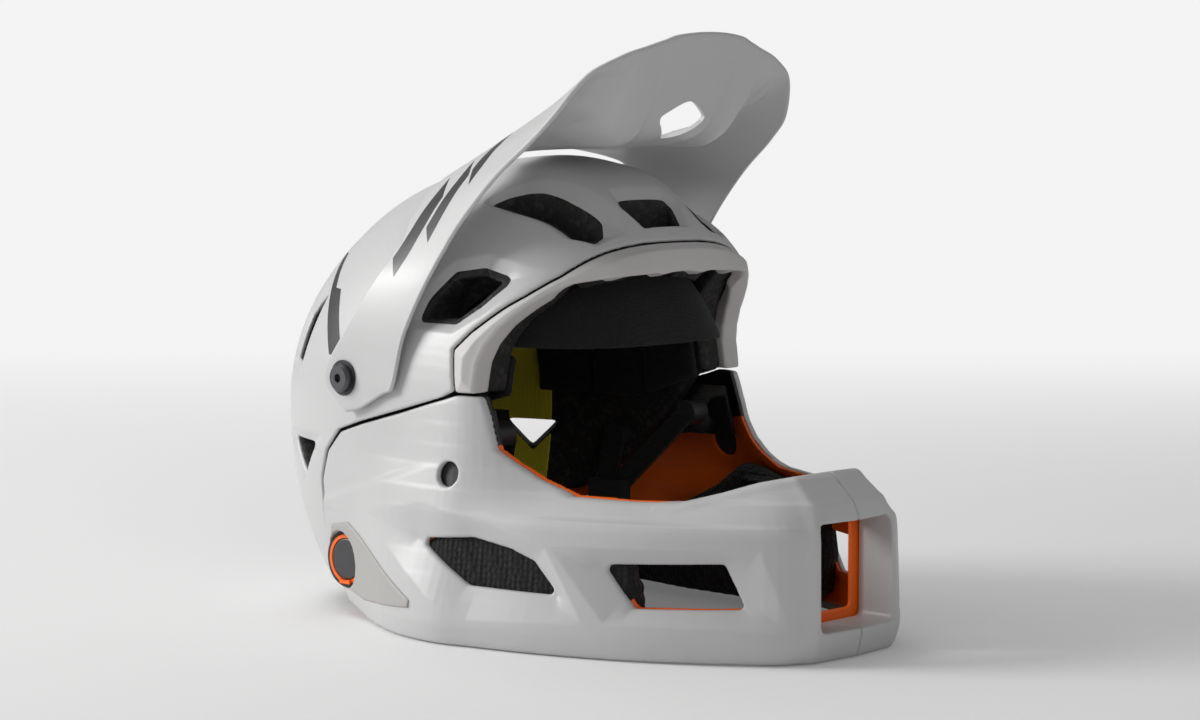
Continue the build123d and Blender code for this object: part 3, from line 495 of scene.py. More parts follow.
LOW_SLOT_ASIDE, LOW_SLOT_MIDDLE, LOW_SLOT_SLANT = 70.0, 114.5, 0.99
LOW_SLOT_TOP, LOW_SLOT_TIP, LOW_SLOT_RISE = 92.5, 74.0, 0.72
LOW_SLOT_EVEN, LOW_SLOT_CORNER = 0.8, 5.0
SLOT_MARGIN, SLOT_DIP, SLOT_DIP_SPAN = 5.0, 2.0, (-5.0, 2.0)
VENT_RECESS_DEPTH = 4.6
RIDGE_MIDDLE, RIDGE_SLANT, RIDGE_HALF, RIDGE_RISE = 30.0, 0.1, 7.0, 0.9
RIDGE_Z_SPAN, RIDGE_Y_SPAN = (160.0, 215.0), (-60.0, -10.0)
DIAL_POCKET_HALF, DIAL_POCKET_BACK, DIAL_POCKET_SPAN = 17.5, 151.5, (36.0, 84.0)
RIM_SWELL, RIM_SWELL_SPAN = 2.6, (-1.0, -9.0)
RIM_SCOOPS = ((0.0, 12.0, 5.0), (30.0, 12.0, 6.5), (58.0, 12.0, 7.0))
RIM_SCOOP_SPAN = (-2.5, -11.0)
BEHIND_RIM_LIP = [(-8.0, 128.0), (40.0, 128.0), (40.0, 230.0), (-67.5, 230.0)]


def facet(inner, outer, depth):
    """How deep a faceted recess is between its rim and its opening."""
    least = 0.01
    inside, outside = np.maximum(-outer, 0), np.maximum(inner, 0)
    return depth * inside / (inside + outside + least)


def vent_fields(block):
    """Pairs of (vent, recess) distances that shell and foam share."""
    up = TOP_VENT_TRIM + np.maximum(TOP_VENTS_ABOVE - block.z, 0)
    pairs = [(plan_field(vent, block) + up, plan_field(recess, block) + up)
             for vent, recess in ((FORE_VENT, FORE_RECESS), (BROW_VENT, BROW_RECESS))]
    out = np.maximum(TEMPLE_VENT_BEYOND - block.x, 0)
    pairs.append((side_field(TEMPLE_VENT, block) + out, side_field(TEMPLE_RECESS, block) + out))
    rear = side_field(REAR_SLOT, block) + np.maximum(REAR_SLOT_BEYOND - block.x, 0)
    slid = np.abs(block.y - LOW_SLOT_SLANT * (block.x - LOW_SLOT_ASIDE) - LOW_SLOT_MIDDLE)
    low = soft_max(block.z - LOW_SLOT_TOP,
                   LOW_SLOT_EVEN * (LOW_SLOT_TIP + LOW_SLOT_RISE * slid - block.z), LOW_SLOT_CORNER)
    low = low + np.maximum(LOW_SLOT_BEYOND - block.x, 0)
    return pairs + [(slot, slot - SLOT_MARGIN) for slot in (rear, low)]


def arm_recess(block):
    """The step in the helmet's side that the chin bar's arm fills."""
    front, foot = -60.0, -40.0
    top = [(front, 128.0)] + ARM_SEAM[:5]
    ring = [(y, z + RECESS_GAP) for y, z in top] + [(y + RECESS_GAP, z) for y, z in ARM_SEAM[5:8]]
    ring += [(ARM_SEAM[7][0] + RECESS_GAP, foot), (front, foot)]
    return np.maximum(side_field(ring, block), RECESS_HALF - block.x)


def build_shell():
    edge, vent_edge, inner_gap = 0.8, 1.4, 0.2
    block = Block(*SHELL_BLOCK)
    pairs = vent_fields(block)
    sunk = dome_field(block)
    for vent, recess in pairs[:3]:
        sunk = sunk + facet(vent, recess, VENT_RECESS_DEPTH)
    for vent, recess in pairs[3:]:
        sunk = sunk + SLOT_DIP * (1 - ease(*SLOT_DIP_SPAN, recess))
    off_ridge = (block.x - RIDGE_MIDDLE - RIDGE_SLANT * block.y) / RIDGE_HALF
    ridge = np.exp(-off_ridge ** 2) * ease(*RIDGE_Z_SPAN, block.z)
    sunk = sunk - RIDGE_RISE * ridge * ease(*RIDGE_Y_SPAN, block.y)
    field = np.maximum(sunk, -(sunk + SHELL_WALL + inner_gap))
    field = soft_max(field, side_field(SHELL_SIDE, block), edge)
    for vent, recess in pairs:
        field = soft_max(field, -vent, vent_edge)
    field = soft_max(field, -arm_recess(block), edge)
    dress(skin("shell_skin", block, field), helmet_paint, "shell_grey", "helmet", "outer_shell")


def build_foam():
    edge, hem_edge, lip_edge, vent_edge, pocket_edge = 1.5, 2.0, 2.5, 3.0, 1.0
    block = Block(*FOAM_BLOCK)
    dome = dome_field(block)
    floor = -(dome + FOAM_FLOOR)
    field = soft_max(dome + FOAM_TOP, floor, edge)
    field = soft_max(field, side_field(RIM_SEAM + FOAM_HEM + ABOVE_HEM, block), hem_edge)
    behind = [(y + SEAM_GAP, z + SEAM_GAP) for y, z in RIM_SEAM] + FOAM_LIP[::-1]
    lip = np.maximum(dome + RIM_DEPTH + SEAM_GAP, floor)
    field = soft_min(field, soft_max(lip, side_field(behind, block), lip_edge), pocket_edge)
    for vent, recess in vent_fields(block):
        field = soft_max(field, -vent - SEAM_GAP, vent_edge)
    field = soft_max(field, -arm_recess(block), pocket_edge)
    low, high = DIAL_POCKET_SPAN
    pocket = np.maximum(np.maximum(block.x - DIAL_POCKET_HALF, block.y - DIAL_POCKET_BACK),
                        np.maximum(low - block.z, block.z - high))
    field = soft_max(field, -pocket, pocket_edge)
    dress(skin("foam_body", block, field), foam, "foam_dark", "helmet", "foam_core")


def build_rim():
    edge, lip_edge, scoop_edge = 2.5, 2.2, 2.0
    block = Block(*RIM_BLOCK)
    dome = dome_field(block)
    side = side_field([(y - SEAM_GAP, z - SEAM_GAP) for y, z in RIM_SEAM] + RIM_LIP[::-1], block)
    swell = RIM_SWELL * ease(*RIM_SWELL_SPAN, side)
    field = soft_max(dome - swell + SEAM_GAP, -(dome + RIM_DEPTH), edge)
    field = soft_max(field, side, lip_edge)
    behind = -side_field(RIM_LIP + BEHIND_RIM_LIP, block)
    arch = 0.0
    for middle, wide, depth in RIM_SCOOPS:
        reach = np.abs(block.x - middle) / wide
        arch = np.maximum(arch, depth * np.sqrt(np.clip(1 - reach ** 2, 0, 1)))
    field = soft_max(field, arch * ease(*RIM_SCOOP_SPAN, dome) - behind, scoop_edge)
    dress(skin("rim_body", block, field), rim_paint, "rim_grey", "helmet", "brow_rim")


# Chin bar
CHIN_LEVELS = [
    (0.0, [(0, -184.2), (31.8, -181.4), (52.5, -165.3), (85.4, -116.1), (105.9, -66.5),
           (116.6, -25.0), (121.6, 0.4), (116.9, 33.4), (99.4, 73.3), (84.8, 109.3)]),
    (10.0, [(0, -187.5), (32.0, -184.5), (54.0, -168.4), (88.0, -117.4), (109.0, -67.5),
            (120.0, -25.5), (125.0, 0.4), (120.0, 34.5), (102.0, 75.4), (88.0, 110.6)]),
    (66.0, [(0, -187.1), (31.0, -184.1), (52.0, -166.5), (84.0, -115.5), (104.0, -66.4),
            (113.5, -25.5), (118.0, 0.4), (115.5, 36.4), (106.0, 75.4), (99.5, 110.6)]),
    (78.9, [(0, -181.9), (28.0, -178.5), (45.0, -156.4), (71.0, -101.6), (88.0, -62.6),
            (108.0, -25.5), (115.0, 0.4), (113.0, 37.5), (107.0, 75.4), (101.0, 110.6)]),
    (91.9, [(0, -166.5), (25.0, -161.6), (38.0, -141.4), (62.0, -89.6), (82.0, -55.5),
            (105.0, -23.6), (112.0, 0.4), (109.5, 38.6), (106.5, 75.4), (102.0, 110.6)]),
    (132.0, [(0, -144.4), (20.0, -139.5), (32.0, -119.6), (54.0, -74.6), (76.0, -44.6),
             (100.0, -17.6), (106.0, 4.5), (106.3, 38.6), (105.5, 75.4), (103.0, 110.6)]),
]
CHIN_SIDE = ([(-FAR, 91.9)] + EYE_LIP[:-1] + [(-17.6, 126.8), (-3.4, 126.8)] + ARM_SEAM[1:]
             + [(65.6, -40.0), (-FAR, -40.0)])
REAR_WINDOW = [(14.5, 52.2), (-21.4, 55.5), (-44.0, 51.5), (-58.1, 46.2), (-72.3, 30.0),
               (-20.6, 31.0)]
REAR_RECESS = [(64.6, 60.7), (12.3, 71.0), (-36.2, 64.0), (-67.1, 54.0), (-89.0, 17.2),
               (-24.6, 14.2), (-7.0, 20.2)]
FRONT_WINDOW = [(-93.3, 47.1), (-147.4, 49.3), (-157.0, 27.0), (-109.0, 25.7)]
FRONT_RECESS = [(-69.4, 55.4), (-165.0, 57.2), (-178.5, 16.8), (-99.2, 18.6)]
FRONT_VENT = (28.5, 15.0, 69.0)
SIDE_HOLE, SIDE_HOLE_RADIUS, HOLE_EDGE_SHARE = (-4.5, 86.7), 6.5, 0.6
DIAL, DIAL_WELL, WELL_BEYOND = (92.25, 30.4), 15.7, 70.0
FRAME_BACK, FRAME_WALL, VENT_BACK = -161.5, 3.0, -150.0
WING_PLATE = [(106.9, 38.6), (101.2, 49.3), (82.5, 52.5), (12.8, 20.7), (13.5, 16.4), (67.5, 12.0),
              (95.6, 14.9)]
WING_OUT, WING_IN = 1.1, 1.5
REAR_RECESS_DEPTH, FRONT_RECESS_DEPTH = 5.0, 5.4
SHOULDER_HEIGHT, SHOULDER_SLANT, SHOULDER_FROM, SHOULDER_DEPTH = 89.5, 0.285, 4.6, 1.5
SHOULDER_FOOT_SPAN, SHOULDER_TOP_SPAN, SHOULDER_Y_SPAN = (0.0, 5.0), (60.0, 90.0), (-2.0, 45.0)
LEVEL_SPAN, LEVEL_BLUR, BLUR_REACH = (-20.0, 150.0), 2.5, 8
CORNER_START_SHARE, CORNER_END_SHARE, TAIL = 0.07, 0.09, 30.0
CORNER_SHARES = (0.0, 0.2, 0.4, 0.6, 0.8)
CHIN_LIP_DEPTH, CHIN_LIP_WIDTH, CHIN_LIP_BACK = 9.0, 3.4, -112.0
WINDOW_CORNER = 2.5
LINER_GAP, LINER_EDGE_WALL, LINER_FLOOR, FRAME_PANEL = 0.4, 1.8, 5.0, 2.8
LINER_VENT_INSET, HOLE_GROW, PLUG_GROW = 4.8, 3.0, 2.6
LINER_WELL, LINER_WELL_BEYOND = 16.0, 60.0


def smooth_line(points, count):
    """A smooth line through points, with even steps between each two of them."""
    points = np.asarray(points, float)
    ends = np.vstack([2 * points[0] - points[1], points, 2 * points[-1] - points[-2]])
    line = []
    for i in range(1, len(ends) - 2):
        a, b, c, d = ends[i - 1:i + 3]
        for t in np.arange(count) / count:
            line.append(0.5 * (2 * b + (c - a) * t + (2 * a - 5 * b + 4 * c - d) * t * t
                               + (3 * b - a - 3 * c + d) * t ** 3))
    line.append(points[-1])
    return np.array(line)


def level_rows():
    """The chin bar's plan at every millimetre of height, blurred between its levels."""
    heights = np.array([level[0] for level in CHIN_LEVELS])
    flat = np.array([level[1] for level in CHIN_LEVELS]).reshape(len(heights), -1)
    fine = np.arange(*LEVEL_SPAN, 1.0)
    rows = np.stack([np.interp(fine, heights, flat[:, k]) for k in range(flat.shape[1])], 1)
    weight = np.exp(-(np.arange(-BLUR_REACH, BLUR_REACH + 1) / LEVEL_BLUR) ** 2 / 2)
    weight /= weight.sum()
    padded = [np.pad(rows[:, k], BLUR_REACH, mode="edge") for k in range(rows.shape[1])]
    rows = np.stack([np.convolve(row, weight, "valid") for row in padded], 1)
    return rows.reshape(len(rows), -1, 2)


def chin_ring(points):
    """A closed plan outline with a crisp front corner, from half of it."""
    front, corner, after = points[:3]
    before = corner + (front - corner) * CORNER_START_SHARE
    beyond = corner + (after - corner) * CORNER_END_SHARE
    bend = [before * (1 - t) ** 2 + 2 * corner * t * (1 - t) + beyond * t * t
            for t in CORNER_SHARES]
    half = np.vstack([front, bend, smooth_line(np.vstack([beyond, points[2:]]), count=5)])
    last = half[-1] - half[-2]
    half = np.vstack([half, half[-1] + last / np.linalg.norm(last) * TAIL])
    return [tuple(point) for point in half] + [(-x, y) for x, y in half[:0:-1]]


def chin_field(block):
    """Distance from the chin bar's outside, without its openings."""
    rows = level_rows()
    heights = block.zs[::2]
    if heights[-1] < block.zs[-1]:
        heights = np.append(heights, block.zs[-1])
    slices = []
    for height in heights:
        near = int(np.clip(round(height - LEVEL_SPAN[0]), 0, len(rows) - 1))
        slices.append(outline(chin_ring(rows[near]), block.xs[:, None], block.ys[None, :]))
    slices = np.stack(slices, 2)
    place = np.interp(block.zs, heights, np.arange(len(heights)))
    low = np.clip(place.astype(int), 0, len(heights) - 2)
    part = (place - low).astype(np.float32)
    field = slices[:, :, low] * (1 - part) + slices[:, :, low + 1] * part
    return even(field, block.cell)


def chin_shape(block):
    """The chin bar's outside with its faceted recesses round the windows, and its side view."""
    body = chin_field(block)
    for recess, window, depth in ((REAR_RECESS, REAR_WINDOW, REAR_RECESS_DEPTH),
                                  (FRONT_RECESS, FRONT_WINDOW, FRONT_RECESS_DEPTH)):
        body = body + facet(side_field(window, block), side_field(recess, block), depth)
    above = block.z - (SHOULDER_HEIGHT - SHOULDER_SLANT * (block.y - SHOULDER_FROM))
    shoulder = (ease(*SHOULDER_FOOT_SPAN, above) * ease(*SHOULDER_Y_SPAN, block.y)
                * (1 - ease(*SHOULDER_TOP_SPAN, above)))
    return body + SHOULDER_DEPTH * shoulder, side_field(CHIN_SIDE, block)


def window_cut(block, field, grow, radius, round_grow=0.0):
    """A field with the side windows and round holes taken out."""
    for window in (REAR_WINDOW, FRONT_WINDOW):
        hole = side_field(inset(window, WINDOW_CORNER), block) - WINDOW_CORNER
        field = soft_max(field, -(hole - grow), radius)
    hole = round_field(block, SIDE_HOLE, SIDE_HOLE_RADIUS + round_grow)
    return soft_max(field, -hole, radius * HOLE_EDGE_SHARE)


def front_hole(block, shrink, corner):
    """Distance from the front vent, made smaller all round."""
    wide, low, high = FRONT_VENT
    tall = soft_max(low + shrink - block.z, block.z - high + shrink, corner)
    return np.maximum(soft_max(block.x - wide + shrink, tall, corner), block.y - VENT_BACK)


def dial_well(block, radius, beyond):
    """Distance from the round seat of the release dial."""
    return np.maximum(round_field(block, DIAL, radius), beyond - block.x)


def build_chin():
    edge, floor_edge, inner_edge, lip_edge, lip_side_edge = 1.6, 2.2, 0.8, 1.5, 1.0
    vent_corner, window_edge, well_edge, wing_edge, plate_edge = 4.0, 1.4, 0.7, 1.0, 0.5
    half_split, plate_gap, frame_sink = 0.12, 0.4, 0.5
    block = Block(*CHIN_BLOCK)
    body, side = chin_shape(block)
    outside = soft_max(soft_max(body, side, edge), -block.z, floor_edge)
    shell = soft_max(outside, -(body + CHIN_WALL), inner_edge)
    lip = soft_max(outside, -(body + CHIN_LIP_DEPTH), lip_edge)
    lip = soft_max(lip, -(side + CHIN_LIP_WIDTH), lip_side_edge)
    shell = soft_min(shell, np.maximum(lip, block.y - CHIN_LIP_BACK), lip_edge)
    wide, low, high = FRONT_VENT
    tall = np.maximum(low - FRAME_WALL - block.z, block.z - high - FRAME_WALL)
    frame_box = np.maximum(block.x - wide - FRAME_WALL, tall)
    tunnel = np.maximum(np.maximum(frame_box, block.y - FRAME_BACK), body + frame_sink)
    shell = soft_min(shell, tunnel, lip_edge)
    shell = soft_max(shell, -front_hole(block, 0.0, vent_corner), edge)
    shell = window_cut(block, shell, 0.0, window_edge)
    well = dial_well(block, DIAL_WELL, WELL_BEYOND)
    wing = np.maximum(body - WING_OUT, -(body + WING_IN))
    wing = soft_max(wing, side_field(WING_PLATE, block), wing_edge)
    wing = soft_max(soft_max(wing, -well, plate_edge), side + plate_gap, plate_edge)
    shell = np.maximum(soft_max(shell, -well, well_edge), half_split - block.x)
    # The halves are pieces of their own, so the block isn't mirrored
    block.mirrored = False
    for name, flipped in SIDES:
        dress(skin(f"chin_{name}_skin", block, shell, flipped), shell_paint, "shell_grey",
              "chin_bar", f"chin_shell_{name}")
        dress(skin(f"wing_{name}_skin", block, wing, flipped), plate_paint, "rim_grey",
              "chin_bar", f"wing_plate_{name}")


def build_liner():
    join, thin_edge, vent_edge, vent_corner, window_edge = 2.0, 0.4, 0.9, 3.0, 0.5
    side_gap, window_gap, thin_span = 0.2, 0.3, (0.5, 5.0)
    block = Block(*LINER_BLOCK)
    body, side = chin_shape(block)
    start = CHIN_WALL + LINER_GAP
    edge = np.minimum(-side, np.minimum(side_field(REAR_WINDOW, block),
                                        side_field(FRONT_WINDOW, block)))
    wall = LINER_EDGE_WALL + (LINER_WALL - LINER_EDGE_WALL) * ease(*thin_span, edge)
    front = FRAME_BACK + LINER_GAP - block.y
    lining = np.maximum(np.maximum(body + start, -(body + start + wall)), front)
    panel = np.maximum(np.maximum(body + start, front), block.y - FRAME_BACK - FRAME_PANEL)
    field = soft_max(soft_min(lining, panel, join), side - side_gap, thin_edge)
    field = np.maximum(field, LINER_FLOOR - block.z)
    field = soft_max(field, -front_hole(block, LINER_VENT_INSET, vent_corner), vent_edge)
    field = window_cut(block, field, -window_gap, window_edge, HOLE_GROW)
    field = np.maximum(field, -dial_well(block, LINER_WELL, LINER_WELL_BEYOND))
    plug = np.maximum(np.maximum(body + start, -(body + start + LINER_EDGE_WALL)),
                      round_field(block, SIDE_HOLE, SIDE_HOLE_RADIUS + PLUG_GROW))
    dress(skin("hole_plugs", block, plug), dark, "dark_plastic", "chin_bar")
    dress(skin("liner_skin", block, field), liner_paint, "liner_orange", "chin_bar",
          "vent_frame", "chin_liner_left", "chin_liner_right")


build_shell()
build_foam()
build_rim()
build_chin()
build_liner()

# Visor: a smooth band through the CAD model's stations
VISOR_FRONT = [
    (112, 64.5, 116), (112, 46.5, 125), (112, 38.6, 129.5), (110, 32.6, 154.9), (106.5, 22.5, 178),
    (103, 10.5, 199), (100.5, -3.4, 218.1), (97.5, -25.5, 241), (94.5, -46.5, 258),
    (91, -59.6, 270.9), (79.5, -70.9, 290.3), (60, -77.6, 302.3), (40, -81.4, 308.3),
    (20, -85.1, 312), (0, -86.6, 313.2)]
VISOR_REAR = [
    (112, 74.6, 114), (112, 89.6, 127), (112, 88.5, 137.9), (110, 72.4, 161.1), (105, 58.5, 183.5),
    (97.5, 51.4, 198), (94, 47.6, 205.9), (88, 47.6, 216.9), (80, 44.6, 228.1), (72, 38.6, 237.8),
    (60, 31.9, 245.3), (46, 30.4, 249.5), (31, 30.4, 252.5), (15, 30.4, 254.7), (0, 30.4, 255.5)]
VISOR_ROWS = [0, 0.2, 0.4, 0.6, 0.76, 0.86, 0.94, 1]
VISOR_SAG = [0, -11.2, -21.9, -31.1, -34.9, -23.7, -11.2, 0]
VISOR_PANEL = [(56.0, -26.0), (76.0, -70.0), (48.0, -78.0), (43.0, -56.0)]
VISOR_DISH = [0, 0, 0, 0, 0, 0, 0, 0, 0, 0, 0.08, 0.4, 0.8, 1, 1]
VISOR_WALL, VISOR_INSIDE = 2.6, (0, 20.0, 150.0)
VISOR_ROLL = ((0.15, 0.55), (0.5, 0.9), (0.85, 0.55))
VISOR_PIVOT, VISOR_BORE = (0, 75.4, 131.5), 2.6
FOLD_DEPTH, FOLD_BACK_SPAN, FOLD_FRONT_SPAN = 7.0, (-14.0, -56.0), (-86.0, -66.0)
FOLD_INNER_SPAN, FOLD_OUTER_SPAN = (26.0, 32.0), (76.0, 46.0)
PANEL_RISE, PANEL_BORDER = 1.8, 5.0
WINDOW_CENTRE, WINDOW_SLOPE, WINDOW_DEEP = (0.0, -63.2, 267.5), (0, -7.2, 20.1), 22
WINDOW_RING = [(-17.0, 2.0), (-15.5, 4.5), (-4.0, 11.5), (4.0, 11.5), (15.5, 4.5), (17.0, 2.0),
               (15.0, -1.5), (3.5, -11.5), (-3.5, -11.5), (-15.0, -1.5)]


def visor_grid():
    """Points of the visor's upper side: a fine net through the stations, with its relief."""
    fine_across, fine_along = ((8, 9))
    half = []
    for front, rear, dish in zip(VISOR_FRONT, VISOR_REAR, VISOR_DISH):
        front, rear = np.array(front, float), np.array(rear, float)
        half.append([rear + (front - rear) * row + np.array([0, 0, dish * sag])
                     for row, sag in zip(VISOR_ROWS, VISOR_SAG)])
    half = np.array(half)
    full = np.concatenate([half, (half * [-1, 1, 1])[-2::-1]])
    rows = np.stack([smooth_line(full[:, k], fine_across) for k in range(full.shape[1])], 1)
    grid = np.stack([smooth_line(line, fine_along) for line in rows])
    reach, back = np.abs(grid[:, :, 0]), grid[:, :, 1]
    place = ramp(*FOLD_BACK_SPAN, back) * ramp(*FOLD_FRONT_SPAN, back)
    grid[:, :, 2] -= (FOLD_DEPTH * place * ramp(*FOLD_INNER_SPAN, reach)
                      * ramp(*FOLD_OUTER_SPAN, reach))
    grid[:, :, 2] += PANEL_RISE * ramp(0.0, -PANEL_BORDER, outline(VISOR_PANEL, reach, back))
    return grid


def rolled_sheet(grid, inward):
    """Points and faces of a wall under a net of points, its edge rolled all round."""
    count, rank = grid.shape[:2]
    size = count * rank
    points = [grid.reshape(-1, 3), (grid + inward * VISOR_WALL).reshape(-1, 3)]
    index = np.arange(size).reshape(count, rank)
    a, b, c, d = index[:-1, :-1], index[1:, :-1], index[1:, 1:], index[:-1, 1:]
    quads = [np.stack([a, b, c, d], -1).reshape(-1, 4),
             np.stack([d, c, b, a], -1).reshape(-1, 4) + size]
    loop = np.concatenate([index[:, 0], index[-1, 1:], index[-2::-1, -1], index[0, -2:0:-1]])
    upper, lower = points[0][loop], points[1][loop]
    centre, through = (upper + lower) / 2, lower - upper
    tangent = np.roll(centre, -1, 0) - np.roll(centre, 1, 0)
    tangent /= np.linalg.norm(tangent, axis=1, keepdims=True)
    outward = np.cross(tangent, through)
    outward /= np.linalg.norm(outward, axis=1, keepdims=True)
    outward *= np.sign(((centre - points[0].mean(0)) * outward).sum())
    rings = [loop]
    for share, out in VISOR_ROLL:
        points.append(upper + through * share + outward * out)
        rings.append(2 * size + (len(rings) - 1) * len(loop) + np.arange(len(loop)))
    rings.append(loop + size)
    for ring, after in zip(rings, rings[1:]):
        quads.append(np.stack([ring, after, np.roll(after, -1), np.roll(ring, -1)], -1))
    return np.concatenate(points), np.concatenate(quads)


def face_outward(obj):
    """Turn every face of a closed mesh outward."""
    bpy.context.view_layer.objects.active = obj
    obj.select_set(True)
    bpy.ops.object.mode_set(mode="EDIT")
    bpy.ops.mesh.select_all(action="SELECT")
    bpy.ops.mesh.normals_make_consistent(inside=False)
    bpy.ops.object.mode_set(mode="OBJECT")
    obj.select_set(False)


def build_visor():
    grid = visor_grid()
    inward = np.cross(np.gradient(grid, axis=0), np.gradient(grid, axis=1))
    inward /= np.linalg.norm(inward, axis=2, keepdims=True)
    if ((np.array(VISOR_INSIDE) - grid) * inward).sum() < 0:
        inward = -inward
    obj = mesh_of("visor_skin", *rolled_sheet(grid, inward))
    face_outward(obj)
    cutters = [visor_window(), visor_bore()]
    for cutter in cutters:
        modify(obj, "BOOLEAN", object=cutter, solver="EXACT")
    settle(obj)
    for cutter in cutters:
        bpy.data.objects.remove(cutter)
    obj.data.shade_smooth()
    modify(obj, "BEVEL", width=0.6 * MM, segments=2, limit_method="ANGLE",
           angle_limit=math.radians(50), harden_normals=True)
    settle(obj)
    dress(obj, visor_paint, "shell_grey", "visor_body", "visor")


def modify(obj, kind, **values):
    """Add a modifier with its settings."""
    change = obj.modifiers.new(kind.lower(), kind)
    for key, value in values.items():
        setattr(change, key, value)


def settle(obj):
    """Turn an object's modifiers into plain geometry."""
    depsgraph = bpy.context.evaluated_depsgraph_get()
    mesh = bpy.data.meshes.new_from_object(obj.evaluated_get(depsgraph))
    obj.modifiers.clear()
    obj.data = mesh


def visor_bore():
    """The round cutter of the visor's two pivot holes."""
    bpy.ops.mesh.primitive_cylinder_add(vertices=24, radius=VISOR_BORE * MM, depth=260 * MM,
                                        location=[part * MM for part in VISOR_PIVOT],
                                        rotation=Vector((1, 0, 0)).to_track_quat("Z", "Y").to_euler())
    return bpy.context.object


def visor_window():
    """The rounded four-sided cutter of the visor's window."""
    slope, across = Vector(WINDOW_SLOPE).normalized(), Vector((1, 0, 0))
    deep = across.cross(slope)
    ring = smooth_line(WINDOW_RING + WINDOW_RING[:1], count=4)[:-1]
    points = [Vector(WINDOW_CENTRE) + across * u + slope * v + deep * push
              for push in (-WINDOW_DEEP, WINDOW_DEEP) for u, v in ring]
    count = len(ring)
    faces = [tuple(range(count)), tuple(range(2 * count - 1, count - 1, -1))]
    faces += [(k, k + count, (k + 1) % count + count, (k + 1) % count) for k in range(count)]
    mesh = bpy.data.meshes.new("window_cut")
    mesh.from_pydata([[part * MM for part in point] for point in points], [], faces)
    obj = bpy.data.objects.new("window_cut", mesh)
    scene.collection.objects.link(obj)
    face_outward(obj)
    return obj


build_visor()

# Padding
BROW_PAD = [(-93.8, 150.0), (-8.5, 150.0), (-19.5, 173.8), (-45.0, 192.0), (-93.8, 192.0)]
SIDE_PAD = [(-10.8, 125.0), (37.5, 110.2), (106.4, 110.2), (106.4, 183.6), (0.8, 183.6),
            (-2.2, 149.0), (-10.8, 144.0)]
SLIP = [(37.5, 117.0), (101.2, 117.0), (101.2, 53.5), (157.5, 53.5), (157.5, 199.0), (37.5, 199.0)]
REAR_PAD = [(105.6, 127.6), (165.0, 127.6), (165.0, 183.6), (105.6, 183.6)]
CROWN_PAD = [(-21.8, 200.0), (63.2, 200.0), (63.2, 236.0), (-21.8, 236.0)]
CHEEK_PAD = [(65.6, 38.0), (33.8, 46.0), (2.0, 54.0), (-22.0, 66.0), (-38.0, 78.0), (-56.3, 78.5),
             (-78.0, 74.0), (-96.0, 60.0), (-106.0, 48.0), (-108.0, 34.0), (-100.0, 12.0),
             (-84.0, 4.5), (-7.5, 4.5), (41.3, 6.0)]
PAD_THICKNESS, PAD_EDGE_WALL, PAD_CROWN, PAD_EDGE = 7.8, 2.4, 11.0, 1.2
PAD_SPLIT, PAD_GAP, CROWN_PAD_HALF = 42.5, 0.4, 35.0
STITCH_DEPTH, STITCH_HALF, PIPING, PIPING_DEPTH, PIPING_JOIN = 3.0, 2.2, 1.5, 2.8, 0.4
BROW_STITCHES, CROWN_STITCH, REAR_STITCH = (22.0, 46.0), 12.0, 14.0
SIDE_STITCHES = ([(30.0, 108.0), (24.0, 150.0), (34.0, 190.0)],
                 [(68.0, 108.0), (64.0, 150.0), (70.0, 190.0)])
FOAM_SEAT, SLIP_SEAT, CHEEK_SEAT = 29.9, 31.3, 7.3
SLIP_TOP, SLIP_FLOOR, SLIP_EDGE, SLIP_GAP = 29.6, 30.8, 0.6, 0.4
CHEEK_FACE, CHEEK_SWELL, CHEEK_CROWN, CHEEK_EDGE = 71.0, 11.0, 13.0, 5.0
CHEEK_FOOT, CHEEK_FOOT_SPAN = 9.0, (46.0, 18.0)
CHEEK_RIB, CHEEK_RIB_STEP = 0.7, 9.0


def crowned(edges, border):
    """Round rise from 0 on a pad's edge to 1 inside its border."""
    share = np.clip(-edges / border, 0, 1)
    return np.sqrt(1 - (1 - share) ** 2)


def cushion(dome, edges, seat, grooves=()):
    """A crowned pad on the dome, with stitched grooves and piping along its edge."""
    swell = PAD_EDGE_WALL + (PAD_THICKNESS - PAD_EDGE_WALL) * crowned(edges, PAD_CROWN)
    for groove in grooves:
        swell = swell - STITCH_DEPTH * np.exp(-(groove / STITCH_HALF) ** 2)
    field = soft_max(np.maximum(dome + seat, -(dome + seat + swell)), edges, PAD_EDGE)
    piping = np.hypot(edges + PIPING, dome + seat + PIPING_DEPTH) - PIPING
    return soft_min(field, piping, PIPING_JOIN)


def pad(obj, material, body, node):
    """Dress a comfort pad."""
    dress(obj, material, "pad_black", body, node)


def build_slip():
    block = Block(*SLIP_BLOCK)
    dome = dome_field(block)
    field = np.maximum(dome + SLIP_TOP, -(dome + SLIP_FLOOR))
    field = soft_max(field, side_field(SLIP, block), SLIP_EDGE)
    low_slot = vent_fields(block)[-1][0]
    field = soft_max(field, -low_slot - SLIP_GAP, SLIP_EDGE)
    for name, flipped in SIDES:
        dress(skin(f"slip_{name}_skin", block, field, flipped), yellow, "slip_yellow", "helmet",
              "slip_liner")


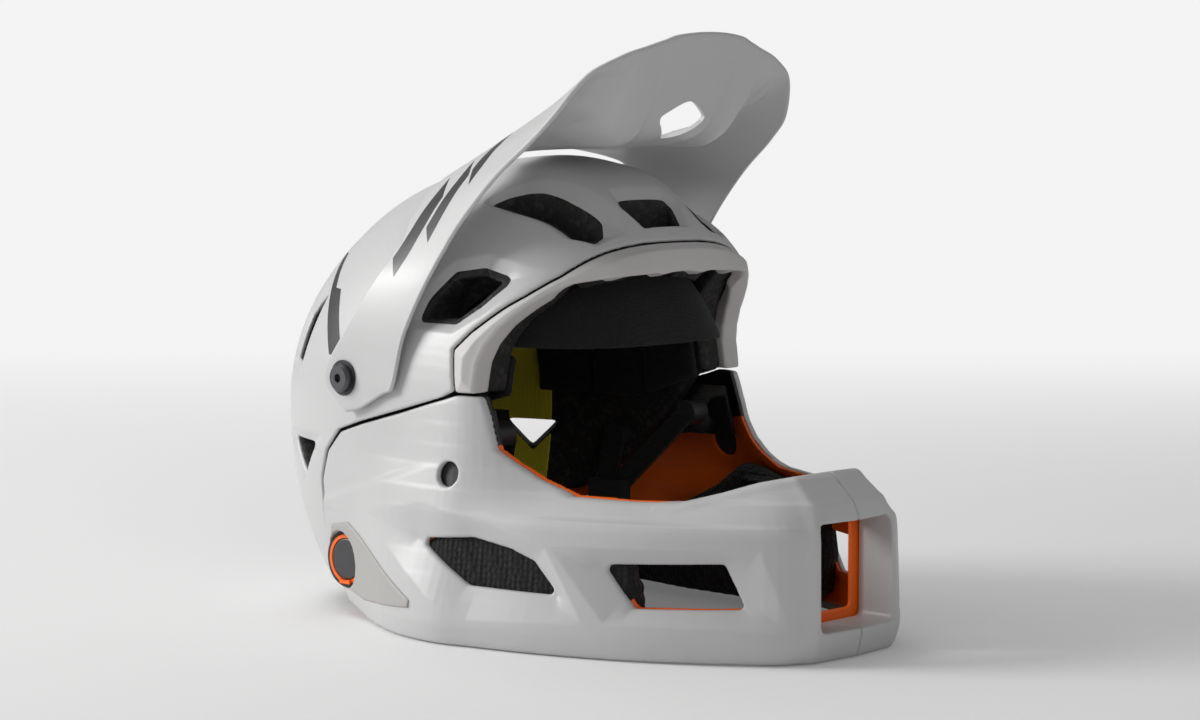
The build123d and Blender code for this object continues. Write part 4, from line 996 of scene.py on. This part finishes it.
def build_pads():
    block = Block(*BROW_PAD_BLOCK)
    field = cushion(dome_field(block), side_field(BROW_PAD, block), FOAM_SEAT,
                    [block.x - stitch for stitch in BROW_STITCHES])
    pad(skin("brow_pad_skin", block, field), cloth, "helmet", "brow_pad")
    block = Block(*CROWN_PAD_BLOCK)
    edges = np.maximum(side_field(CROWN_PAD, block), block.x - CROWN_PAD_HALF)
    field = cushion(dome_field(block), edges, FOAM_SEAT, [block.x - CROWN_STITCH])
    pad(skin("crown_pad_skin", block, field), cloth, "helmet", "crown_pad")
    block = Block(*REAR_PAD_BLOCK)
    edges = np.maximum(side_field(REAR_PAD, block), block.x - PAD_SPLIT + PAD_GAP)
    field = cushion(dome_field(block), edges, SLIP_SEAT, [block.x - REAR_STITCH])
    pad(skin("rear_pad_skin", block, field), cloth, "helmet", "rear_pad")
    block = Block(*SIDE_PAD_BLOCK)
    edges = np.maximum(side_field(SIDE_PAD, block), PAD_SPLIT + PAD_GAP - block.x)
    field = cushion(dome_field(block), edges, SLIP_SEAT,
                    [trace(line, block) for line in SIDE_STITCHES])
    for name, flipped in SIDES:
        pad(skin(f"side_pad_{name}_skin", block, field, flipped), cloth, "helmet",
            f"side_pad_{name}")


def build_cheek_pads():
    block = Block(*CHEEK_PAD_BLOCK)
    seat = chin_field(block) + CHEEK_SEAT
    edges = side_field(CHEEK_PAD, block)
    crown = crowned(edges, CHEEK_CROWN)
    foot = CHEEK_FOOT * ease(*CHEEK_FOOT_SPAN, block.z)
    face = CHEEK_FACE - foot + CHEEK_SWELL * (1 - crown)
    ribs = (np.cos(block.y * 2 * np.pi / CHEEK_RIB_STEP)
            * np.cos(block.z * 2 * np.pi / CHEEK_RIB_STEP))
    inner = np.minimum(face - block.x, -seat - CHEEK_SWELL * crown)
    field = soft_max(seat, inner + CHEEK_RIB * ribs, CHEEK_EDGE)
    field = soft_max(field, edges, CHEEK_EDGE)
    for name, flipped in SIDES:
        pad(skin(f"cheek_pad_{name}_skin", block, field, flipped), mesh_cloth, "chin_bar",
            f"cheek_pad_{name}")


build_pads()
build_cheek_pads()
build_slip()

# Chin strap: flat webs that hang in shallow curves
FRONT_ANCHOR, REAR_ANCHOR = (71.5, -5.6, 104.6), (71.5, 49.5, 87.2)
DIVIDER, BUCKLE = (50.0, 33.8, 57.3), (10.0, 7.5, 21.2)
WEB_HALF, WEB_WALL, WEB_STEPS = 7.5, 1.6, 28
WEB_RUNS = ((FRONT_ANCHOR, (-4.0, 0.0, -3.0)), (REAR_ANCHOR, (-4.0, 0.0, -2.0)),
            (BUCKLE, (4.0, 1.0, -5.0)))
WEB_SHARES = [(1.0, 0.0), (0.96, 0.42), (0.88, 0.5), (0.80, 0.42), (0.4, 0.4), (0.0, 0.4)]


def web(start, end, control):
    """Points and faces of a flat web along a curve, its width towards the rear."""
    t = np.linspace(0, 1, WEB_STEPS)[:, None]
    path = start * (1 - t) ** 2 + 2 * control * t * (1 - t) + end * t * t
    ahead = np.gradient(path, axis=0)
    ahead /= np.linalg.norm(ahead, axis=1, keepdims=True)
    wide = np.array([0, 1.0, 0]) - ahead * ahead[:, 1:2]
    wide /= np.linalg.norm(wide, axis=1, keepdims=True)
    flat = np.cross(ahead, wide)
    upper = WEB_SHARES + [(-u, v) for u, v in WEB_SHARES[-2::-1]]
    profile = upper + [(u, -v) for u, v in upper[-2:0:-1]]
    rings = [path + wide * u * WEB_HALF + flat * v * WEB_WALL for u, v in profile]
    size = len(profile)
    faces = []
    for k in range(0, (WEB_STEPS - 1) * size, size):
        for j in range(size):
            after = (j + 1) % size
            faces.append((k + j, k + after, k + size + after, k + size + j))
    return np.stack(rings, 1).reshape(-1, 3), faces


def build_straps():
    end = np.array(DIVIDER)
    for name, flipped in SIDES:
        points, faces = [], []
        for start, sag in WEB_RUNS:
            start = np.array(start)
            fresh, quads = web(start, end, (start + end) / 2 + np.array(sag))
            faces += [tuple(corner + len(points) for corner in quad) for quad in quads]
            points += [tuple(point) for point in fresh * [-1 if flipped else 1, 1, 1]]
        obj = mesh_of(f"webs_{name}", np.array(points), faces)
        if flipped:
            obj.data.flip_normals()
        dress(obj, webbing, "webbing_black", "helmet", f"strap_webs_{name}")


build_straps()

# Plain CAD nodes keep their shapes and take a finish
PLAIN_PAIRS = {
    "pivot_insert": bright_steel, "pivot_boss": rim_paint, "pivot_washer": dark,
    "pivot_screw": steel, "dock_plate": gloss_black, "dial_housing": dark,
    "dial_knob": knob_grey, "dial_ring": orange, "latch_tongue": bright_steel,
    "latch_catch": bright_steel, "strap_divider": dark, "buckle": dark, "strap_anchors": dark}
plain = {f"{stem}_{side}": finish for stem, finish in PLAIN_PAIRS.items() for side, _ in SIDES}
plain.update(fit_rail=dark, fit_cradle=dark, fit_dial=dark)
for name, finish in plain.items():
    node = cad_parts[name]
    node.data.materials.clear()
    node.data.materials.append(finish)

# Studio, in metres
CAMERA_PLACE, CAMERA_TILT, CAMERA_TURN = (-1.1155, -1.0627, 0.2739), 84.97, -46.56
CAMERA_SENSOR, CAMERA_LENS, CAMERA_NEAR, CAMERA_FAR = 36, 85.58, 0.05, 60
AIM = (0, -0.02, 0.12)
# Each lamp is its name, place, size, power and colour
LAMPS = (("key", (-1.7, 1.9, 1.3), 1.2, 60, (1, 0.995, 0.985)),
         ("top", (-0.1, 0.7, 2.3), 1.5, 15, (1, 1, 1)),
         ("front", (-1.2, -2.0, 1.0), 1.0, 5, (1, 1, 1)),
         ("right", (1.8, -1.2, 0.7), 0.9, 1.0, (0.98, 0.99, 1)))
SKY_COLOR, SKY_STRENGTH = (0.91, 0.91, 0.915), 0.23
FLOOR_COLOR, NEAR_TONE, FAR_TONE = (0.86, 0.86, 0.86), (0.755, 0.755, 0.755), (0.90, 0.90, 0.90)
FLOOR_NEAR, FLOOR_FAR, FLOOR_SIDE, FLOOR_CURVE, WALL_TOP = -6.0, 2.6, 9.0, 1.6, 7.0
FLOOR_DROP = 0.6 * MM
GLOW_END, GLOW_START, GLOW_LEAST, TONE_START = 1.8, -0.1, 0.15, -0.2


def backdrop_paint(ahead):
    """A floor that turns to an even pale backdrop far behind the object, for the eye alone."""
    material, tree, shader = nodes_of("floor_paint", FLOOR_COLOR, rough=0.9)
    along = dot(tree, place_on(tree), (*ahead, 0))
    glow_share, tone_share = [
        spread(tree, along, interpolation_type="SMOOTHSTEP", From_Min=start, From_Max=GLOW_END,
               To_Min=least)
        for start, least in ((GLOW_START, GLOW_LEAST), (TONE_START, 0.0))]
    tone = blend(tree, tone_share, NEAR_TONE, FAR_TONE)
    glow = add_node(tree, "ShaderNodeEmission", [("Color", tone)])
    seen = add_node(tree, "ShaderNodeLightPath").outputs["Is Camera Ray"]
    mix = add_node(tree, "ShaderNodeMixShader", [
        (0, calc(tree, "MULTIPLY", seen, glow_share)), (1, shader.outputs[0]), (2, glow.outputs[0])])
    tree.links.new(mix.outputs[0], tree.nodes["Material Output"].inputs["Surface"])
    return material


def build_floor():
    """A pale floor that curves up into a backdrop behind the object."""
    turn = math.radians(CAMERA_TURN)
    ahead = np.array([-math.sin(turn), math.cos(turn)])
    beside = np.array([ahead[1], -ahead[0]])
    profile = [(FLOOR_NEAR, 0.0), (FLOOR_FAR, 0.0)]
    first_turn, turns = 0.06, 24
    profile += [(FLOOR_FAR + FLOOR_CURVE * math.sin(step), FLOOR_CURVE - FLOOR_CURVE * math.cos(step))
                for step in np.linspace(first_turn, math.pi / 2, turns)]
    profile += [(FLOOR_FAR + FLOOR_CURVE, WALL_TOP)]
    points = []
    for along, height in profile:
        for side in (-FLOOR_SIDE, FLOOR_SIDE):
            place = ahead * along + beside * side
            points.append((*place, height - FLOOR_DROP))
    faces = [(2 * k, 2 * k + 1, 2 * k + 3, 2 * k + 2) for k in range(len(profile) - 1)]
    floor = mesh_of("floor", np.array(points) / MM, faces)
    floor.data.materials.append(backdrop_paint(ahead))


def build_light():
    """Soft lamps and an even sky."""
    world = bpy.data.worlds.new("studio")
    scene.world = world
    world.use_nodes = True
    back = world.node_tree.nodes["Background"]
    back.inputs["Color"].default_value = (*SKY_COLOR, 1)
    back.inputs["Strength"].default_value = SKY_STRENGTH
    for name, place, size, power, color in LAMPS:
        lamp = bpy.data.lights.new(name, "AREA")
        lamp.energy = power
        lamp.size = size
        lamp.color = color
        obj = bpy.data.objects.new(name, lamp)
        obj.location = place
        obj.rotation_euler = (Vector(AIM) - Vector(place)).to_track_quat("-Z", "Y").to_euler()
        scene.collection.objects.link(obj)
    scene.view_settings.view_transform = "Standard"


def build_camera():
    """The camera, fitted to the photograph."""
    camera = bpy.data.cameras.new("camera")
    camera.sensor_width = CAMERA_SENSOR
    camera.lens = CAMERA_LENS
    camera.clip_start = CAMERA_NEAR
    camera.clip_end = CAMERA_FAR
    obj = bpy.data.objects.new("camera", camera)
    obj.location = CAMERA_PLACE
    obj.rotation_euler = (math.radians(CAMERA_TILT), 0, math.radians(CAMERA_TURN))
    scene.collection.objects.link(obj)
    scene.camera = obj


build_floor()
build_light()
build_camera()
